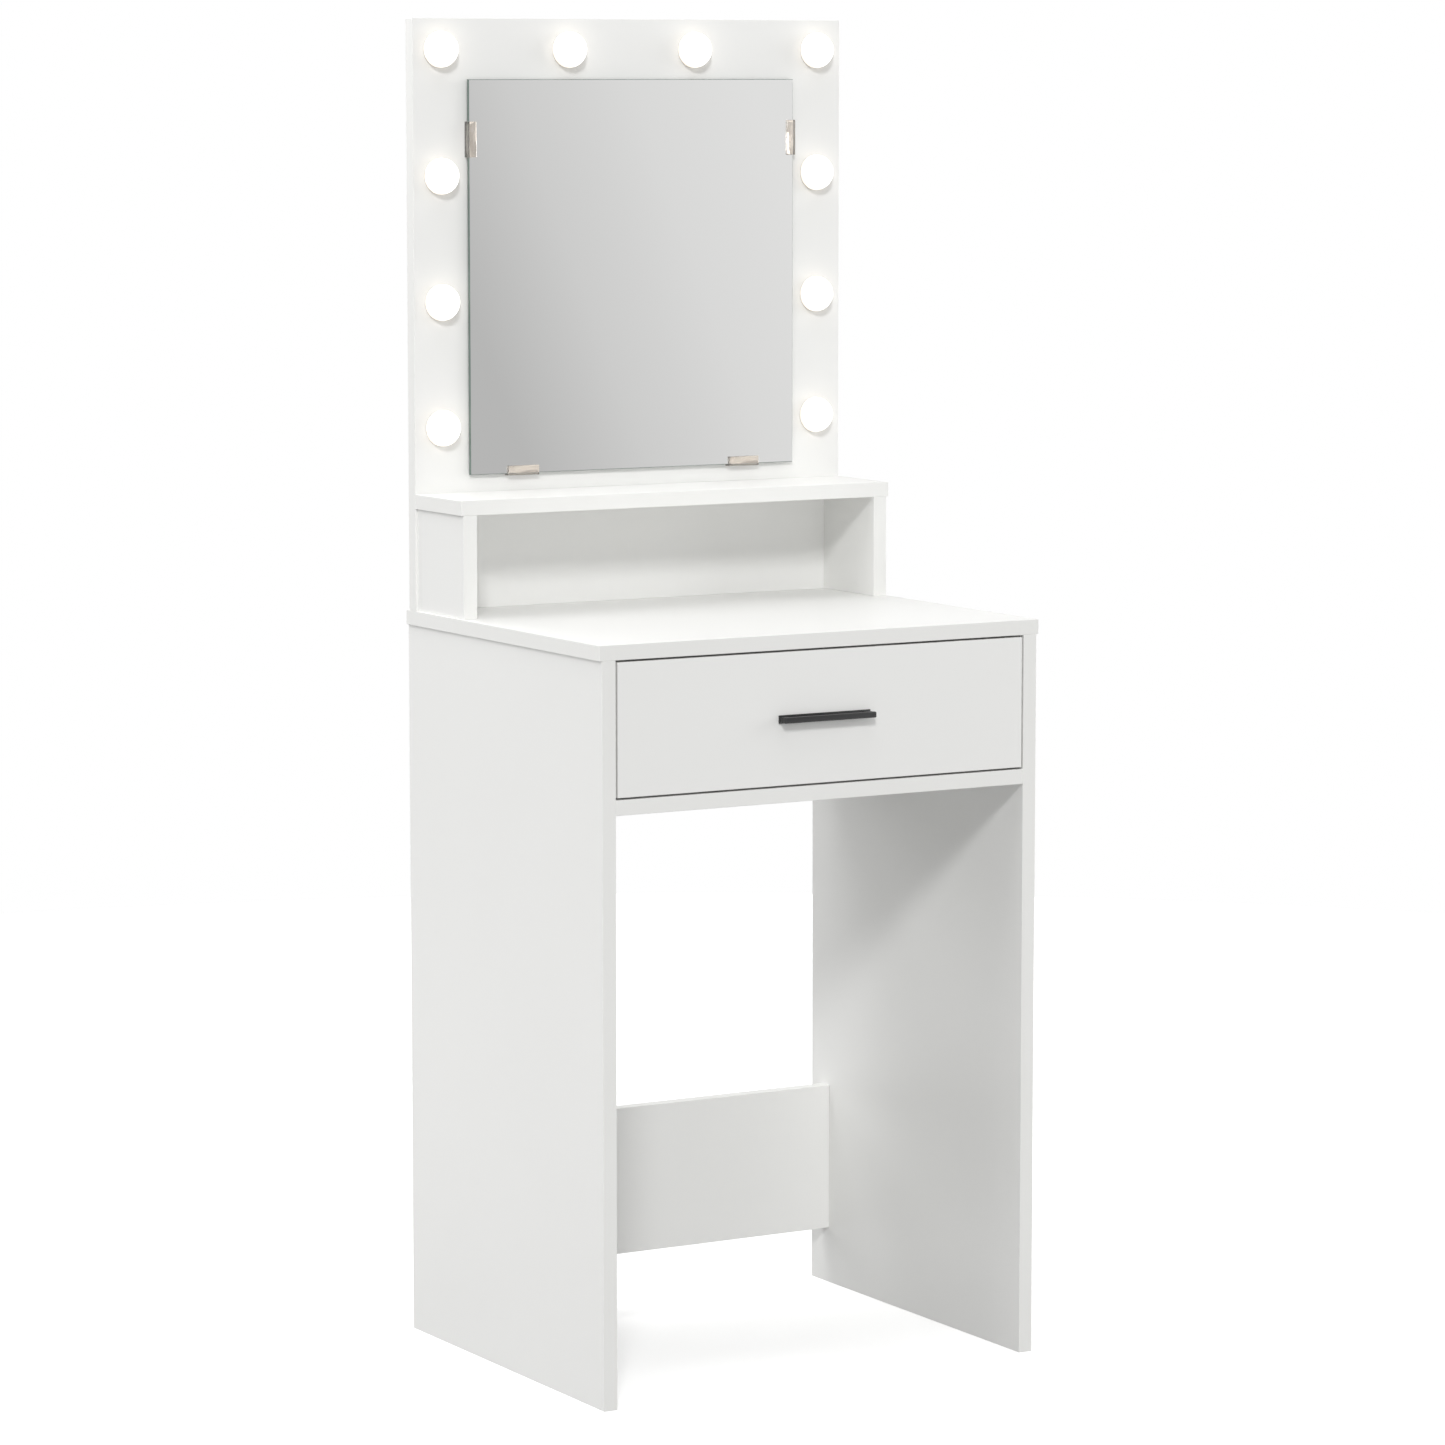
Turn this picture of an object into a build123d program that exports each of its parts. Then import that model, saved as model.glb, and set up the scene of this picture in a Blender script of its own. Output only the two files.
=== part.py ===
"""Vanity table with a lamp-lit mirror board, an open shelf over the top and one drawer on roller runners.

Millimetres. +Z is up and the front looks along -Y. The origin lies on the floor, at the middle of the whole
object's width and of its depth from the handle's front to the tabletop's back edge.
"""

import os
from dataclasses import dataclass

from build123d import *

os.makedirs("parts", exist_ok=True)

# ---------------------------------------------------------------- driving dimensions
BOARD = 15.0  # melamine-faced chipboard
WIDTH = 500.0
DEPTH = 405.0
TABLE_HEIGHT = 745.0
TOTAL_HEIGHT = 1340.0
END_OVERHANG = 2.5  # tabletop past each side panel
HANDLE_PROJECTION = 13.5
BAY_FLOOR_UNDERSIDE = 580.5
STRETCHER_BOTTOM = 59.5
STRETCHER_HEIGHT = 154.5
REAR_INSET = 20.5  # stretcher and drawer bay back, from the tabletop's back edge
MIRROR_BOARD_INSET = 7.0  # room for the lamp wiring behind the mirror board
SHELF_DEPTH = 100.0
SHELF_UNDERSIDE = 848.5
DRAWER_GAP = 2.0  # round the inset drawer front
FREE_GAP = 0.1  # between pieces that are slid together by hand

FRONT = -(DEPTH - HANDLE_PROJECTION) / 2
BACK = FRONT + DEPTH
PANEL_OUTER = WIDTH / 2 - END_OVERHANG
PANEL_INNER = PANEL_OUTER - BOARD
PANEL_MIDDLE = PANEL_OUTER - BOARD / 2
TOP_UNDERSIDE = TABLE_HEIGHT - BOARD
BAY_FLOOR_TOP = BAY_FLOOR_UNDERSIDE + BOARD
REAR_PLANE = BACK - REAR_INSET
BAY_BACK_FRONT = REAR_PLANE - BOARD
MIRROR_BOARD_BACK = BACK - MIRROR_BOARD_INSET
MIRROR_BOARD_FRONT = MIRROR_BOARD_BACK - BOARD
SHELF_FRONT = MIRROR_BOARD_FRONT - SHELF_DEPTH
SIDES = (("left", -1), ("right", 1))

# ---------------------------------------------------------------- mirror
MIRROR_WIDTH = 380.0
MIRROR_BOTTOM = 881.0
MIRROR_TOP = 1279.0
GLASS_THICKNESS = 4.0
GLASS_CHAMFER = 0.5
GLASS_STANDOFF = 2.0
CLIP_LENGTH = 36.0
CLIP_WALL = 1.8
CLIP_LIP = 8.0
CLIP_TAB = 12.0
CLIP_EDGE_RADIUS = 0.6
CLIP_EDGE_GAP = 0.1
CLIP_SCREW_PLACE = 6.5
CLIP_INSET = 60.0  # from a corner of the glass
PAD_LENGTH, PAD_HEIGHT = 40.0, 60.0
PAD_COLUMNS, PAD_ROWS = 2, 3
PAD_SPACING_X, PAD_SPACING_Z = 220.0, 120.0

# ---------------------------------------------------------------- lamps and wiring
LAMP_EDGE = 30.0  # lamp centre to the mirror board's end
LAMP_TOP_DROP = 31.0
LAMP_PITCH = 126.5
LAMPS_PER_COLUMN = 4
LAMPS_PER_ROW = 4
LENS_RADIUS = 18.3
LENS_WALL = 1.6
LAMP_BASE_RADIUS = 17.6
LAMP_BASE_HEIGHT = 2.5
LENS_SEAT_RADIUS = 16.4
LENS_SEAT_WALL = 1.9
LENS_SEAT_HEIGHT = 2.5
STEM_RADIUS = 5.0
STEM_BORE = 2.5
STEM_PAST_BOARD = 3.0
LED_BOARD_RADIUS = 14.0
LED_BOARD_THICKNESS = 1.2
LED_CHIP = 2.8
LED_CHIP_HEIGHT = 0.8
LED_CHIP_CIRCLE = 8.0
LED_CHIPS = 6
NUT_ACROSS_CORNERS = 8.0
CAP_RADIUS = 10.5
CAP_HEIGHT = 6.5
CAP_WALL = 1.2
WIRE_RADIUS = 2.0
WIRE_STANDOFF = 2.6  # wire axis to the board's back
WIRE_END_RADIUS = 8.4  # wire end to the lamp's axis
LEAD_X = 110.0  # where the wiring goes down past the tabletop
LEAD_BEND_Z = 850.0  # where it turns aside under the lowest lamp
LEAD_MIDDLE_Z = 790.0  # where it has reached the notch's line
LEAD_NOTCH_Z = 725.0
LEAD_DRIVER_Z = 702.0
LEAD_RADII = (45.0, 45.0, 60.0, 30.0)  # of its bends, from the top
LEAD_SADDLE_HIGH_Z, LEAD_SADDLE_LOW_Z = 895.0, 757.0
NOTCH_WIDTH, NOTCH_DEPTH, NOTCH_CORNER = 12.0, 6.9, 2.0
SADDLE_WIDTH, SADDLE_LENGTH = 14.0, 10.0
SADDLE_BASE, SADDLE_ARCH = 0.5, 3.6

# ---------------------------------------------------------------- lamp driver
DRIVER_WIDTH, DRIVER_HEIGHT = 70.0, 60.0
DRIVER_CENTRE_Z = 655.0
DRIVER_TRAY_DEPTH = 16.0
DRIVER_WALL = 2.0
DRIVER_WIRE_HEIGHT = 10.0
COVER_CHAMFER = 1.0
COVER_LIP_DEPTH = 3.0
COVER_LIP_BREAK = 13.0  # gap in the lip for the wire and the inlet
EAR_LENGTH, EAR_WIDTH, EAR_THICKNESS = 12.0, 16.0, 3.0
CIRCUIT_WIDTH, CIRCUIT_HEIGHT, CIRCUIT_THICKNESS = 60.0, 50.0, 1.6
CIRCUIT_POST_RADIUS, CIRCUIT_POST_HEIGHT = 2.5, 2.0
CIRCUIT_POST_INSET = 6.0  # from the circuit board's edges
COIL_LENGTH, COIL_WIDTH, COIL_HEIGHT = 14.0, 12.0, 8.0
COIL_PLACE = (-17.0, 6.0)
CAPACITOR_RADIUS, CAPACITOR_HEIGHT = 4.0, 7.0
CAPACITOR_PLACES = ((16.0, 10.0), (16.0, -8.0))
CHIP_LENGTH, CHIP_WIDTH, CHIP_HEIGHT = 8.0, 6.0, 1.4
CHIP_PLACE = (0.0, 8.0)
INLET_HEIGHT = 11.0
INLET_RADIUS = 4.7
INLET_FLANGE_RADIUS, INLET_FLANGE = 4.75, 1.5
INLET_DEPTH = 11.0
INLET_SOCKET_RADIUS, INLET_SOCKET_DEPTH, INLET_PIN_RADIUS = 2.75, 9.0, 1.0

# ---------------------------------------------------------------- drawer
DRAWER_SIDE_CLEARANCE = 12.5  # room for a roller runner
DRAWER_SIDE_BOTTOM = 612.0
DRAWER_SIDE_HEIGHT = 100.0
DRAWER_BOX_LENGTH = 320.0
GROOVE_DEPTH = 5.0
GROOVE_BOTTOM = 622.0
DRAWER_BOTTOM_THICKNESS = 3.0
DRAWER_BOTTOM_PLAY = 0.5  # between the bottom panel and the ends of its grooves
DRAWER_OUTER = PANEL_INNER - DRAWER_SIDE_CLEARANCE
DRAWER_INNER = DRAWER_OUTER - BOARD
DRAWER_FRONT_BACK = FRONT + BOARD
DRAWER_REAR = DRAWER_FRONT_BACK + DRAWER_BOX_LENGTH
DRAWER_FRONT_WIDTH = 2 * (PANEL_INNER - DRAWER_GAP)
DRAWER_FRONT_BOTTOM = BAY_FLOOR_TOP + DRAWER_GAP
DRAWER_FRONT_TOP = TOP_UNDERSIDE - DRAWER_GAP

HANDLE_LENGTH = 104.0
HANDLE_HOLE_SPACING = 96.0
HANDLE_CENTRE_Z = 662.5
HANDLE_PLATE_HEIGHT, HANDLE_PLATE_THICKNESS = 8.2, 2.0
HANDLE_BAR_HEIGHT, HANDLE_BAR_DEPTH = 5.8, 4.5
HANDLE_POST_WIDTH, HANDLE_POST_HEIGHT = 8.0, 5.2
HANDLE_EDGE_RADIUS = 0.8
HANDLE_THREAD_DEPTH = 7.0
HANDLE_BOLT_RADIUS = 2.0
HANDLE_BOLT_HEAD_RADIUS, HANDLE_BOLT_CROWN_RADIUS, HANDLE_BOLT_HEAD = 4.0, 2.8, 2.4
HANDLE_BOLT_SLOT, HANDLE_BOLT_SLOT_DEPTH = 0.8, 1.2

# ---------------------------------------------------------------- roller runners
RUNNER_LENGTH = 300.0
RUNNER_SHEET = 1.2
RUNNER_SETBACK = 2.5  # cabinet runner's front end, behind the drawer front
CHANNEL_WIDTH = 9.2  # off the side panel
CHANNEL_FLOOR = 606.0
CHANNEL_HEIGHT = 20.6
FLANGE_UNDERSIDE = 628.6  # drawer runner's outward flange
FLANGE_TIP = 3.5  # off the side panel
DRAWER_FLANGE_WIDTH = 11.5  # under the drawer side
ROLLER_RADIUS = 9.7
ROLLER_WIDTH = 6.8
ROLLER_EASE = 0.85  # chamfer of the tread's edges
ROLLER_TREAD_GAP = 0.3
ROLLER_END_SETBACK = 13.0
AXLE_RADIUS = 2.0
AXLE_FIT = 0.05  # radial clearance in the roller's bore
AXLE_RIVET_FIT = 0.025  # radial clearance in the runner's web
AXLE_HEAD_RADIUS = 3.2
AXLE_HEAD = 0.8
AXLE_SIDE_GAP = 0.3
FRONT_ROLLER_OFFSET = 2.4  # roller's outer face, off the side panel
REAR_ROLLER_OFFSET = 3.1
TOP_FLANGE_CUT = 26.0
CABINET_RUNNER_FRONT = DRAWER_FRONT_BACK + RUNNER_SETBACK
CHANNEL_TOP = CHANNEL_FLOOR + CHANNEL_HEIGHT
CHANNEL_MIDDLE = CHANNEL_FLOOR + CHANNEL_HEIGHT / 2
STOP_TAB_HEIGHT = 6.0
DRAWER_TRAVEL = 235.0
RUNNER_SCREW_PLACES = (45.0, 150.0, 265.0)
DRAWER_RUNNER_SCREW_PLACES = (30.0, 140.0, 240.0)
DRAWER_RUNNER_SCREW_RISE = 6.0  # above the drawer side's lower edge

# ---------------------------------------------------------------- furniture fittings
CAM_RADIUS, CAM_HEIGHT, CAM_SETBACK = 7.5, 12.0, 24.0
CAM_POCKET_DEPTH = 12.5
CAM_WINDOW = 6.4
CAM_SLOT_WIDTH, CAM_SLOT_DEPTH = 1.0, 2.0
BOLT_THREAD_RADIUS, BOLT_THREAD_LENGTH = 2.4, 11.0
BOLT_COLLAR_RADIUS, BOLT_COLLAR_LENGTH = 3.3, 3.0
BOLT_ROD_RADIUS, BOLT_NECK_RADIUS, BOLT_HEAD_RADIUS = 2.2, 1.5, 2.6
DOWEL_RADIUS, DOWEL_SHORT, DOWEL_LONG, DOWEL_CHAMFER = 4.0, 10.0, 20.0, 0.8
HOLE_CLEARANCE = 0.05
SCREW_DRIVE_SHARE = 0.8  # drive socket's depth, as a share of the head's height

# places along the boards: from a front edge, from the floor, or from the middle of the width
TOP_CAM_SETBACKS = (60.0, 345.0)
TOP_DOWEL_SETBACKS = (110.0, 250.0)
FLOOR_CAM_SETBACKS = (60.0, 330.0)
FLOOR_DOWEL_SETBACKS = (25.0, 200.0)
REAR_CAM_HEIGHTS = (98.0, 176.0, 663.0)
REAR_DOWEL_HEIGHTS = (137.0, 625.0, 700.0)
CUBBY_DOWEL_SETBACKS = (25.0, 82.0)
MIRROR_BOARD_SCREW_X = (-150.0, 0.0, 150.0)
MIRROR_BOARD_DOWEL_X = (-205.0, 205.0)
DRAWER_FITTING_HEIGHTS = (645.0, 692.0)


@dataclass(frozen=True)
class Screw:
    """Sizes of one screw: it points down local -Z, with its head's face at local zero."""

    head_radius: float
    head_height: float
    shank_radius: float
    shank_length: float
    core_radius: float
    length: float
    drive: float


BOARD_SCREW = Screw(5.0, 2.8, 3.4, 14.0, 2.4, 50.0, 4.0)
SMALL_SCREW = Screw(3.2, 1.7, 1.6, 2.0, 1.4, 12.0, 2.2)
TINY_SCREW = Screw(2.6, 1.3, 1.4, 2.0, 1.2, 11.0, 1.8)


def finish(piece, label):
    """Labels a finished piece and writes it as one STEP file."""
    piece.part.label = label
    export_step(piece.part, f"parts/{label}.step")


def span(side, inner, outer):
    """Low and high x of what lies between two distances from the middle, on the side given as -1 or 1."""
    return sorted((side * inner, side * outer))


def turned(points):
    """A solid of revolution about local Z, from its half section as (radius, height) points."""
    with BuildPart() as body:
        with BuildSketch(Plane.XZ):
            with BuildLine():
                Polyline(*points, close=True)
            make_face()
        revolve(axis=Axis.Z)
    return body.part


def board(low, high):
    """A plain board between two opposite corners."""
    size = [b - a for a, b in zip(low, high)]
    with BuildPart() as body:
        with BuildSketch(Plane.XY.offset(low[2])):
            with Locations(((low[0] + high[0]) / 2, (low[1] + high[1]) / 2)):
                Rectangle(size[0], size[1])
        extrude(amount=size[2])
    return body.part


def screw_solid(size, clearance=0.0):
    """A countersunk screw, or the hole for one where a clearance is given."""
    tip = size.length + clearance
    shank_end = size.shank_length + clearance
    with BuildPart() as body:
        add(
            turned(
                [
                    (0, 0),
                    (size.head_radius + clearance, 0),
                    (size.shank_radius + clearance, -size.head_height),
                    (size.shank_radius + clearance, -shank_end),
                    (size.core_radius + clearance, -shank_end),
                    (size.core_radius + clearance, -tip + size.core_radius),
                    (0, -tip),
                ]
            )
        )
        if not clearance:
            with BuildSketch():
                RegularPolygon(size.drive / 2, 6, major_radius=False)
            extrude(amount=-size.head_height * SCREW_DRIVE_SHARE, mode=Mode.SUBTRACT)
    return body.part


def joint_at(origin, into, open_side=(1, 0, 0)):
    """The place of a fitting: origin on the joint's face, local Z along into, local X along open_side."""
    return Plane(origin=origin, x_dir=open_side, z_dir=into).location


def wire(points, radii, radius):
    """A round wire of the given radius along straight runs, joined by arcs where radii are given."""
    with BuildPart() as tube:
        with BuildLine() as path:
            if radii:
                FilletPolyline(*points, radius=radii)
            else:
                Line(*points)
        with BuildSketch(Plane(origin=path.line @ 0, z_dir=path.line % 0)):
            Circle(radius)
        sweep(path=path.line)
    return tube.part


def axle(web_depth, roller_near):
    """A riveted axle along local Z, from the web's far face, with a shoulder and a head beside the roller."""
    shoulder = roller_near - AXLE_SIDE_GAP
    head = roller_near + ROLLER_WIDTH + AXLE_SIDE_GAP
    return turned(
        [
            (0, 0),
            (AXLE_RADIUS, 0),
            (AXLE_RADIUS, web_depth),
            (AXLE_HEAD_RADIUS, web_depth),
            (AXLE_HEAD_RADIUS, shoulder),
            (AXLE_RADIUS, shoulder),
            (AXLE_RADIUS, head),
            (AXLE_HEAD_RADIUS, head),
            (AXLE_HEAD_RADIUS, head + AXLE_HEAD),
            (0, head + AXLE_HEAD),
        ]
    )


def roller(near):
    """A roller on local Z, its bore running on the axle and its tread edges eased."""
    bore = AXLE_RADIUS + AXLE_FIT
    return turned(
        [
            (bore, near),
            (ROLLER_RADIUS - ROLLER_EASE, near),
            (ROLLER_RADIUS, near + ROLLER_EASE),
            (ROLLER_RADIUS, near + ROLLER_WIDTH - ROLLER_EASE),
            (ROLLER_RADIUS - ROLLER_EASE, near + ROLLER_WIDTH),
            (bore, near + ROLLER_WIDTH),
        ]
    )


# ---------------------------------------------------------------- fittings, each in its own local frame
with BuildPart() as cam_bore:
    # the bolt's threaded hole, its passage in the edge of the other board, and the disc's pocket
    add(
        turned(
            [
                (0, BOLT_THREAD_LENGTH + HOLE_CLEARANCE),
                (BOLT_THREAD_RADIUS + HOLE_CLEARANCE, BOLT_THREAD_LENGTH + HOLE_CLEARANCE),
                (BOLT_THREAD_RADIUS + HOLE_CLEARANCE, 0),
                (BOLT_COLLAR_RADIUS + FREE_GAP, 0),
                (BOLT_COLLAR_RADIUS + FREE_GAP, -CAM_SETBACK),
                (0, -CAM_SETBACK),
            ]
        )
    )
    with BuildSketch(Plane.YZ.offset(BOARD / 2)):
        with Locations((0, -CAM_SETBACK)):
            Circle(CAM_RADIUS)
    extrude(amount=-CAM_POCKET_DEPTH)

NECK_TOP = CAM_SETBACK - BOLT_HEAD_RADIUS
with BuildPart() as cam_bolt:
    add(
        turned(
            [
                (0, BOLT_THREAD_LENGTH),
                (BOLT_THREAD_RADIUS, BOLT_THREAD_LENGTH),
                (BOLT_THREAD_RADIUS, 0),
                (BOLT_COLLAR_RADIUS, 0),
                (BOLT_COLLAR_RADIUS, -BOLT_COLLAR_LENGTH),
                (BOLT_ROD_RADIUS, -BOLT_COLLAR_LENGTH),
                (BOLT_ROD_RADIUS, -NECK_TOP + BOLT_COLLAR_LENGTH),
                (BOLT_NECK_RADIUS, -NECK_TOP + BOLT_COLLAR_LENGTH),
                (BOLT_NECK_RADIUS, -NECK_TOP),
                (BOLT_HEAD_RADIUS, -NECK_TOP),
                (BOLT_HEAD_RADIUS, -CAM_SETBACK),
                (BOLT_NECK_RADIUS, -CAM_SETBACK - BOLT_NECK_RADIUS),
                (0, -CAM_SETBACK - BOLT_NECK_RADIUS),
            ]
        )
    )

CAM_FACE = BOARD / 2 - FREE_GAP
with BuildPart() as cam_disc:
    with BuildSketch(Plane.YZ.offset(CAM_FACE)):
        with Locations((0, -CAM_SETBACK)):
            Circle(CAM_RADIUS - FREE_GAP)
    extrude(amount=-CAM_HEIGHT)
    # window that takes the bolt's head in from the rim
    with BuildSketch(Plane.XY.offset(-CAM_SETBACK - CAM_WINDOW / 2)):
        Rectangle(CAM_WINDOW, CAM_WINDOW)
    extrude(amount=CAM_WINDOW / 2 + CAM_RADIUS, mode=Mode.SUBTRACT)
    # cross slot for the screwdriver
    with BuildSketch(Plane.YZ.offset(CAM_FACE)):
        with Locations((0, -CAM_SETBACK)):
            Rectangle(CAM_RADIUS, CAM_SLOT_WIDTH)
            Rectangle(CAM_SLOT_WIDTH, CAM_RADIUS)
    extrude(amount=-CAM_SLOT_DEPTH, mode=Mode.SUBTRACT)

with BuildPart() as dowel:
    with BuildSketch(Plane.XY.offset(-DOWEL_LONG)):
        Circle(DOWEL_RADIUS)
    extrude(amount=DOWEL_LONG + DOWEL_SHORT)
    chamfer(dowel.edges().filter_by(GeomType.CIRCLE), DOWEL_CHAMFER)

with BuildPart() as dowel_bore:
    with BuildSketch(Plane.XY.offset(-DOWEL_LONG - FREE_GAP)):
        Circle(DOWEL_RADIUS + HOLE_CLEARANCE)
    extrude(amount=DOWEL_LONG + DOWEL_SHORT + 2 * FREE_GAP)

board_screw = screw_solid(BOARD_SCREW)
board_screw_bore = screw_solid(BOARD_SCREW, HOLE_CLEARANCE)
small_screw = screw_solid(SMALL_SCREW)
small_screw_bore = screw_solid(SMALL_SCREW, HOLE_CLEARANCE)
tiny_screw = screw_solid(TINY_SCREW)
tiny_screw_bore = screw_solid(TINY_SCREW, HOLE_CLEARANCE)

# ---------------------------------------------------------------- where the fittings go
UP, DOWN, TO_BACK, TO_FRONT = (0, 0, 1), (0, 0, -1), (0, 1, 0), (0, -1, 0)
FLOOR_MIDDLE = BAY_FLOOR_UNDERSIDE + BOARD / 2
REAR_MIDDLE = REAR_PLANE - BOARD / 2
MIRROR_BOARD_MIDDLE = MIRROR_BOARD_BACK - BOARD / 2
SHELF_MIDDLE = SHELF_UNDERSIDE + BOARD / 2
CUBBY_SCREW_Z = (TABLE_HEIGHT + SHELF_UNDERSIDE) / 2

top_cams, floor_cams, rear_cams = [], [], []
top_dowels, floor_dowels, rear_dowels = [], [], []
cubby_dowels, cubby_screws = [], []
for _, side in SIDES:
    inward, outward = (-side, 0, 0), (side, 0, 0)
    for setback in TOP_CAM_SETBACKS:
        seat = (side * PANEL_MIDDLE, FRONT + setback, TOP_UNDERSIDE)
        top_cams.append(joint_at(seat, UP, inward))
    for setback in TOP_DOWEL_SETBACKS:
        seat = (side * PANEL_MIDDLE, FRONT + setback, TOP_UNDERSIDE)
        top_dowels.append(joint_at(seat, UP))
    for setback in FLOOR_CAM_SETBACKS:
        seat = (side * PANEL_INNER, FRONT + setback, FLOOR_MIDDLE)
        floor_cams.append(joint_at(seat, outward, DOWN))
    for setback in FLOOR_DOWEL_SETBACKS:
        seat = (side * PANEL_INNER, FRONT + setback, FLOOR_MIDDLE)
        floor_dowels.append(joint_at(seat, outward, DOWN))
    for height in REAR_CAM_HEIGHTS:
        rear_cams.append(joint_at((side * PANEL_INNER, REAR_MIDDLE, height), outward, TO_BACK))
    for height in REAR_DOWEL_HEIGHTS:
        rear_dowels.append(joint_at((side * PANEL_INNER, REAR_MIDDLE, height), outward, DOWN))
    for setback in CUBBY_DOWEL_SETBACKS:
        cubby_y = SHELF_FRONT + setback
        cubby_dowels.append(joint_at((side * PANEL_MIDDLE, cubby_y, TABLE_HEIGHT), DOWN))
        cubby_dowels.append(joint_at((side * PANEL_MIDDLE, cubby_y, SHELF_UNDERSIDE), UP))
    cubby_screws.append(joint_at((side * PANEL_MIDDLE, MIRROR_BOARD_BACK, CUBBY_SCREW_Z), TO_BACK))

shelf_screws, mirror_board_screws = [], []
for x in MIRROR_BOARD_SCREW_X:
    shelf_screws.append(joint_at((x, MIRROR_BOARD_BACK, SHELF_MIDDLE), TO_BACK))
    mirror_board_screws.append(joint_at((x, MIRROR_BOARD_MIDDLE, TOP_UNDERSIDE), DOWN))
mirror_board_dowels = [joint_at((x, MIRROR_BOARD_MIDDLE, TABLE_HEIGHT), DOWN) for x in MIRROR_BOARD_DOWEL_X]

# ---------------------------------------------------------------- where the lamps and their wiring go
LAMP_X = WIDTH / 2 - LAMP_EDGE
LAMP_TOP_Z = TOTAL_HEIGHT - LAMP_TOP_DROP
LAMP_LOW_Z = LAMP_TOP_Z - (LAMPS_PER_COLUMN - 1) * LAMP_PITCH
column = [LAMP_LOW_Z + step * LAMP_PITCH for step in range(LAMPS_PER_COLUMN)]
row = [-LAMP_X + 2 * LAMP_X * step / (LAMPS_PER_ROW - 1) for step in range(LAMPS_PER_ROW)]
lamp_places = [(-LAMP_X, z) for z in column]
lamp_places += [(x, LAMP_TOP_Z) for x in row[1:-1]]
lamp_places += [(LAMP_X, z) for z in reversed(column)]
lamp_seats = [joint_at((x, MIRROR_BOARD_FRONT, z), TO_FRONT) for x, z in lamp_places]
WIRE_Y = MIRROR_BOARD_BACK + WIRE_STANDOFF

wire_runs = []
for (x0, z0), (x1, z1) in zip(lamp_places, lamp_places[1:]):
    step = Vector(x1 - x0, 0, z1 - z0)
    inset = step.normalized() * WIRE_END_RADIUS
    wire_runs.append((Vector(x0, WIRE_Y, z0) + inset, Vector(x1, WIRE_Y, z1) - inset))
DRIVER_TOP = DRIVER_CENTRE_Z + DRIVER_HEIGHT / 2
DRIVER_WIRE_Y = REAR_PLANE + DRIVER_WIRE_HEIGHT
lead_points = [
    (LAMP_X, WIRE_Y, LAMP_LOW_Z - WIRE_END_RADIUS),
    (LAMP_X, WIRE_Y, LEAD_BEND_Z),
    (LEAD_X, WIRE_Y, LEAD_MIDDLE_Z),
    (LEAD_X, WIRE_Y, LEAD_NOTCH_Z),
    (LEAD_X, DRIVER_WIRE_Y, LEAD_DRIVER_Z),
    (LEAD_X, DRIVER_WIRE_Y, DRIVER_TOP - 2 * DRIVER_WALL),
]

# ---------------------------------------------------------------- carcass boards
for name, side in SIDES:
    near, far = span(side, PANEL_INNER, PANEL_OUTER)
    with BuildPart() as side_panel:
        add(board((near, FRONT, 0), (far, BACK, TOP_UNDERSIDE)))
        with Locations(*top_cams, *floor_cams, *rear_cams):
            add(cam_bore.part, mode=Mode.SUBTRACT)
        with Locations(*top_dowels, *floor_dowels, *rear_dowels):
            add(dowel_bore.part, mode=Mode.SUBTRACT)
        for place in RUNNER_SCREW_PLACES:
            seat = (side * (PANEL_INNER - RUNNER_SHEET), CABINET_RUNNER_FRONT + place, CHANNEL_MIDDLE)
            with Locations(joint_at(seat, (-side, 0, 0), UP)):
                add(small_screw_bore, mode=Mode.SUBTRACT)
    finish(side_panel, f"{name}_side_panel")

with BuildPart() as tabletop:
    add(board((-WIDTH / 2, FRONT, TOP_UNDERSIDE), (WIDTH / 2, BACK, TABLE_HEIGHT)))
    # round-cornered notch in the back edge that lets the wiring down
    with BuildSketch(Plane.XY.offset(TOP_UNDERSIDE)):
        with Locations((LEAD_X, BACK)):
            RectangleRounded(NOTCH_WIDTH, 2 * NOTCH_DEPTH, NOTCH_CORNER)
    extrude(amount=BOARD, mode=Mode.SUBTRACT)
    with Locations(*top_cams):
        add(cam_bore.part, mode=Mode.SUBTRACT)
    with Locations(*top_dowels, *cubby_dowels, *mirror_board_dowels):
        add(dowel_bore.part, mode=Mode.SUBTRACT)
    with Locations(*mirror_board_screws):
        add(board_screw_bore, mode=Mode.SUBTRACT)
finish(tabletop, "tabletop")

with BuildPart() as drawer_bay_floor:
    add(board((-PANEL_INNER, FRONT, BAY_FLOOR_UNDERSIDE), (PANEL_INNER, REAR_PLANE, BAY_FLOOR_TOP)))
    with Locations(*floor_cams):
        add(cam_bore.part, mode=Mode.SUBTRACT)
    with Locations(*floor_dowels):
        add(dowel_bore.part, mode=Mode.SUBTRACT)
finish(drawer_bay_floor, "drawer_bay_floor")

EAR_CENTRE = DRIVER_WIDTH / 2 + EAR_LENGTH / 2
driver_plane = Plane(origin=(LEAD_X, REAR_PLANE, DRIVER_CENTRE_Z), x_dir=(-1, 0, 0), z_dir=TO_BACK)
driver_screws_at = [
    joint_at((LEAD_X + sign * EAR_CENTRE, REAR_PLANE + EAR_THICKNESS, DRIVER_CENTRE_Z), TO_BACK)
    for _, sign in SIDES
]
with BuildPart() as drawer_bay_back:
    add(board((-PANEL_INNER, BAY_BACK_FRONT, BAY_FLOOR_TOP), (PANEL_INNER, REAR_PLANE, TOP_UNDERSIDE)))
    with Locations(*rear_cams):
        add(cam_bore.part, mode=Mode.SUBTRACT)
    with Locations(*rear_dowels):
        add(dowel_bore.part, mode=Mode.SUBTRACT)
    with Locations(*driver_screws_at):
        add(small_screw_bore, mode=Mode.SUBTRACT)
finish(drawer_bay_back, "drawer_bay_back")

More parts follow.
